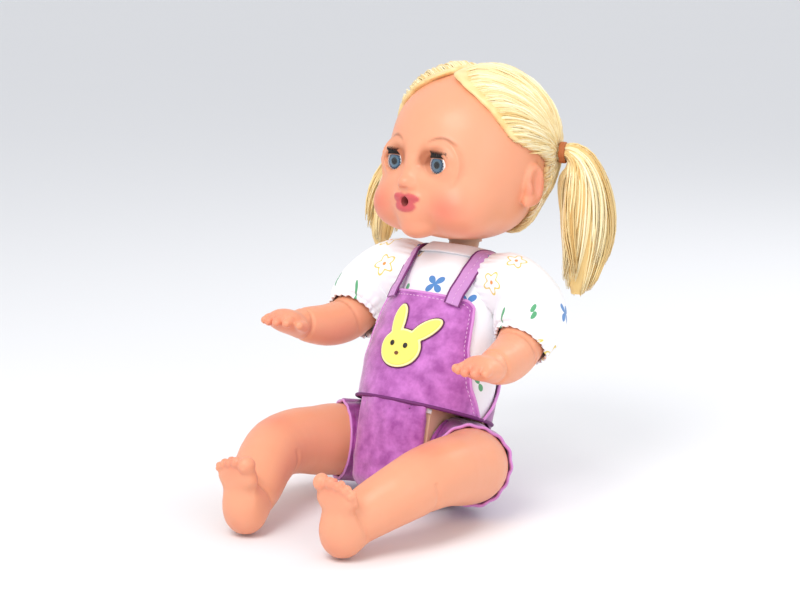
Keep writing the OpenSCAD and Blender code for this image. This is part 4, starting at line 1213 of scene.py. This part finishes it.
z = np.linspace(20.6, 64, 40)
s = np.linspace(0, 1, 100)
Z = np.broadcast_to(z[:, None], (40, 100))
T = back_edge(z)[:, None] + (360 - 2 * back_edge(z))[:, None] * s[None]
q = np.stack([T / 2.2, Z, Z * 0], -1).reshape(-1, 3)
back = on_torso(Z, T, 3.2 + 0.3 * fold(q, 20, 23).reshape(Z.shape))
# the back panel takes the satin copy with painted shade
cloth("back_cloth", back, material=materials["purple_shaded"], replace=["dungaree_back"],
      thick=1.1)
edge_trim("back_edge_binding", np.concatenate([back[:, 0], back[-1, 1:], back[::-1, -1][1:]]), 0.7,
    materials["trim"])


def section_gap(p, out):
    """Signed distance to the torso's own shape grown by out, roughly."""
    z = np.clip(p[:, 2], -26, TOP)
    a, b, c = (smooth(TORSO, z, k) for k in (1, 2, 3))
    x, y = p[:, 0], p[:, 1] - c
    q = np.sqrt((x / a) ** 2 + (y / b) ** 2) + 1e-9
    g = np.sqrt((x / a ** 2) ** 2 + (y / b ** 2) ** 2) / q + 1e-9
    side = (q - 1) / g
    rise = np.interp(p[:, 2], [-26, -20, -13, -2], [1.6, 1.1, 0.45, 0.1])
    side = side / np.sqrt(1 + rise ** 2)
    return np.maximum(side, -26 - p[:, 2]) - out


c_a, s_a = TORSO_M[1][1], TORSO_M[1][2]
HIP_Z = TORSO_M.translation.z / MM


def room(p, x0, r):
    x, y, z = np.abs(p[:, 0]), p[:, 1], p[:, 2]
    disc = np.hypot(y, z) - r
    front = np.maximum(y, z - r)
    down = np.maximum(z, y - r)
    return np.maximum(x0 - x, np.minimum(np.minimum(disc, front), down))


def shorts_sdf(p):
    world_z = HIP_Z + p[:, 2] * c_a - p[:, 1] * s_a
    n = 0.4 * fold(p, 15, 31)
    outer = section_gap(p, 3.5 + n)
    outer = smax(outer, p[:, 2] - HIP_ROOM_R, 0.5)
    inner = section_gap(p, 0.9 + 1.1 * np.clip((p[:, 2] - 14) / 3, 0, 1))
    inner = np.maximum(inner, 2.2 - world_z)
    f = smax(outer, -inner, 0.6)
    f = smax(f, -world_z, 0.4)
    return smax(f, -room(p, HIP_ROOM_X, HIP_ROOM_R), 0.9)


v, f = nets(shorts_sdf, (-38, -34, -32), (38, 34, 23), 0.8, polish=2)
o = new_mesh("shorts_cloth", v, f, TORSO_M)
dress(o, materials["shorts"], "torso", ["dungaree_shorts"])
T = np.linspace(-180, 180, 220)
edge_trim("waist_seam", on_torso(np.full(len(T), 20.7), T, 3.3), 0.9, materials["dark_edge"])

for side, name in ((1, "left"), (-1, "right")):
    rows_ = np.array([[0.9, 0, 0, HEM_R], [BEND_START, 0, 0, HEM_R]]
        + [hip_bend(a, HEM_R - a / 50) for a in (12, 24, 36, 48, 60)])

    def ripple(s, a, ph=1.7 * side):
        free = np.clip((s - 0.25) / 0.4, 0, 1)
        free = free * (1 - 0.9 * np.clip(np.sin(a), 0, 1))
        waves = 0.35 * np.sin(15 * a + ph) + 0.35 * np.sin(4 * a + 5 * s + ph)
        return free * waves + 0.4 * free * gauss(s - 1, 0.1)
    P = tube_cloth(rows_, 44, 140, (0, 0, 1), ripple)
    # the hems take the satin copy with painted shade
    cloth(f"{name}_shorts_hem", P, matrix=leg_frame(side), material=materials["purple_shaded"],
          body=f"{name}_leg", replace=[f"{name}_shorts_leg"],
          thick=1.0)
    edge_trim(f"{name}_hem_piping", P[-1], 0.8, materials["trim"], body=f"{name}_leg", matrix=leg_frame(side))


def strap_line(n=90):
    """The middle of a strap's underside, its run and its outward direction. It passes over the neckband."""
    s = np.linspace(0, len(STRAP) - 1, n)
    zt = along(STRAP, s)
    rest = np.minimum(s, s[-1] - s)
    out = SHIRT_OUT + 0.65 + (DUNG_OUT - SHIRT_OUT) * np.clip(1.6 - rest, 0, 1)
    out = out + 1.2 * np.clip((zt[:, 0] - 93) / 3, 0, 1)
    mid = on_torso(zt[:, 0], zt[:, 1], out)
    return mid, np.gradient(mid, axis=0), on_torso(zt[:, 0], zt[:, 1], out + 1) - mid


STRAP_WIDE, STRAP_THICK = 7.2, 1.5
for side, name in ((1, "left"), (-1, "right")):
    mid, t, up = strap_line()
    P = doubled_strip(mid, t, up, STRAP_WIDE, STRAP_THICK)
    top = mid + up * (STRAP_THICK + 0.05)
    edges = [P[:, 0] + up * 0.1, P[:, P.shape[1] // 2] + up * 0.1]
    for line in (P, top, *edges):
        line[..., 0] *= side
    if side < 0:
        P = P[:, ::-1]
    cloth(f"{name}_strap_cloth", P, material=materials["lilac"], replace=[f"{name}_strap"],
          thick=0.4)
    for k, line in enumerate(edges):
        edge_trim(f"{name}_strap_edge_{k}", line, 0.55, materials["dark_edge"])
    stitches(f"{name}_strap_stitches", top, materials["stitch"], pitch=2.6, length=1.5, r=0.16)


# ---------------------------------------------------------------- rabbit badge
def oval(p, c, r, turn):
    a = math.radians(turn)
    x, y = p[:, 0] - c[0], p[:, 1] - c[1]
    u, w = x * math.cos(a) + y * math.sin(a), -x * math.sin(a) + y * math.cos(a)
    k0 = np.hypot(u / r[0], w / r[1])
    k1 = np.hypot(u / r[0] ** 2, w / r[1] ** 2)
    return k0 * (k0 - 1) / np.maximum(k1, 1e-9)


def bunny_outline(p):
    f = oval(p, (0, 45.5), (11.4, 9.7), 0)
    f = smin(f, oval(p, (-5.4, 58.8), (4.0, 9.2), 8), 0.8)
    return smin(f, oval(p, (10.2, 56.0), (4.1, 9.2), -44), 0.8)


def drape(points, out0):
    """Lays a flat badge's points (across, out, up) on the front of the dungarees."""
    z = points[:, 2]
    a = smooth(TORSO, z, 1)
    t = np.degrees(np.arcsin(np.clip(points[:, 0] / (a + out0), -1, 1)))
    out = bib_out(np.clip(z, 20.6, 75)[:, None], t[:, None])[:, 0]
    out = np.where(z < 20.6, 3.4, out)
    return on_torso(z, t, out + out0 - 3.2 + points[:, 1])


def badge_piece(name, outline, thick, base, grow, material, lo, hi, h=0.45, replace=()):
    def f(p):
        d = outline(p[:, [0, 2]]) - grow
        return smax(d, np.abs(p[:, 1] - thick / 2) - thick / 2, min(0.9, thick * 0.7))
    v, fa = nets(f, lo, hi, h)
    o = new_mesh(name, drape(v, base), fa, TORSO_M, flip=False)
    dress(o, material, "torso", replace)
    return o


lo, hi = (-16, -1.2, 33), (21, 2.6, 70)
# a dark rim round the badge: painted shadow under its raised edge
badge_piece("badge_painted_shadow", bunny_outline, 0.6, 3.2, 0.55, materials["badge_shadow"], lo, hi)
badge_piece("badge_border", bunny_outline, 0.9, 3.45, 0.0, materials["pale_yellow"], lo, hi)
badge_piece("badge_face", bunny_outline, 1.35, 3.5, -0.9, materials["yellow"], lo, hi,
    replace=["bunny_face"])
badge_piece("badge_eyes",
            lambda p: np.minimum(oval(p, (-3.9, 47.2), (1.2, 1.35), 0), oval(p, (3.9, 46.8), (1.2, 1.35), 0)),
            0.7, 4.75, 0, materials["black_thread"], (-6, -0.5, 44), (6, 1.4, 50), 0.25,
            ["bunny_eyes"])
badge_piece("badge_nose", lambda p: oval(p, (0, 42.6), (1.2, 0.95), 0), 0.6, 4.75, 0,
    materials["brown_thread"],
            (-2, -0.5, 40.5), (2, 1.4, 45), 0.2, ["bunny_nose"])

# ---------------------------------------------------------------- CAD pieces that stay: materials by slot
kept = {
    "skin": materials["skin_body"],
    "body_plastic": simple("torso_plastic", lin(228, 186, 158), 0.45),
    "lip_pink": simple("mouth_lining", lin(204, 112, 108), 0.5),
    "eye_white": Mat("eye_white", lin(244, 246, 248), 0.12, Coat_Weight=0.5).m,
    "eye_clear": Mat("eye_clear", (1, 1, 1, 1), 0.02, Transmission_Weight=1.0, IOR=1.4).m,
    "weight_metal": simple("cast_weight", lin(80, 80, 84), 0.6, 400, Metallic=0.9),
    "white_plastic": simple("white_plastic", lin(236, 236, 232), 0.35),
    "black_plastic": simple("black_plastic", lin(30, 30, 33), 0.45, 600),
    "board_green": simple("solder_mask", lin(34, 110, 66), 0.35),
    "cone_paper": simple("cone_paper", lin(52, 52, 56), 0.8, 700),
    "steel": simple("plated_steel", lin(190, 190, 194), 0.3, Metallic=1.0),
    "brass": simple("brass_strip", lin(206, 172, 96), 0.3, Metallic=1.0),
    "red_lead": simple("lead_insulation", lin(180, 30, 30), 0.4),
    "white_cloth": materials["white_cloth"], "hair": materials["hair"],
}
slot_of = {s["node"]: s["material_slot"] for s in record["subparts"]}
for n, o in frame["nodes"].items():
    m = kept.get(slot_of[n])
    if m:
        o.data.materials.clear()
        o.data.materials.append(m)

# ---------------------------------------------------------------- floor, light, camera
floor_m = Mat("floor", lin(236, 236, 238), 0.9)
floor_m.color(floor_m.mix(floor_m.mul(floor_m.noise(3, 1), 0.06), lin(238, 238, 240),
    lin(226, 226, 230)))
r, n = 30.0, 40
v = [(x * 1000, y * 1000, 0) for x in np.linspace(-r, r, n) for y in np.linspace(-r, r, n)]
floor = new_mesh("floor", v, grid_faces(n, n), flip=True)
floor.location.z = min(cad_box[0][2], 0) - 0.0004
floor.data.materials.append(floor_m.m)

world = bpy.data.worlds.new("studio")
bpy.context.scene.world = world
world.use_nodes = True
world.node_tree.nodes["Background"].inputs[0].default_value = (0.95, 0.97, 1.0, 1)
world.node_tree.nodes["Background"].inputs[1].default_value = 0.85
bpy.context.scene.view_settings.view_transform = "Standard"

target = Vector((0.002, -0.016, 0.103))
az, el, dist = math.radians(37), math.radians(11), 0.92
away = Vector((math.sin(az) * math.cos(el), -math.cos(az) * math.cos(el), math.sin(el)))


def lamp(name, direction, distance, size, power, tint=(1, 1, 1)):
    data = bpy.data.lights.new(name, "AREA")
    data.shape, data.size, data.energy, data.color = "DISK", size, power, tint
    o = bpy.data.objects.new(name, data)
    bpy.context.scene.collection.objects.link(o)
    o.location = target + Vector(direction).normalized() * distance
    o.rotation_euler = (target - o.location).to_track_quat("-Z", "Y").to_euler()


lamp("key", (0.1, -0.8, 0.95), 1.0, 0.55, 5.4, (1, 0.98, 0.95))
lamp("fill", (1.0, -0.4, 0.45), 1.1, 0.7, 1.6)
lamp("rim", (0.3, 1.0, 0.9), 1.1, 0.4, 2.5)

cam_data = bpy.data.cameras.new("camera")
cam = bpy.data.objects.new("camera", cam_data)
bpy.context.scene.collection.objects.link(cam)
cam_data.lens = 86
cam.location = target + away * dist
cam.rotation_euler = (-away).to_track_quat("-Z", "Y").to_euler()
bpy.context.scene.camera = cam
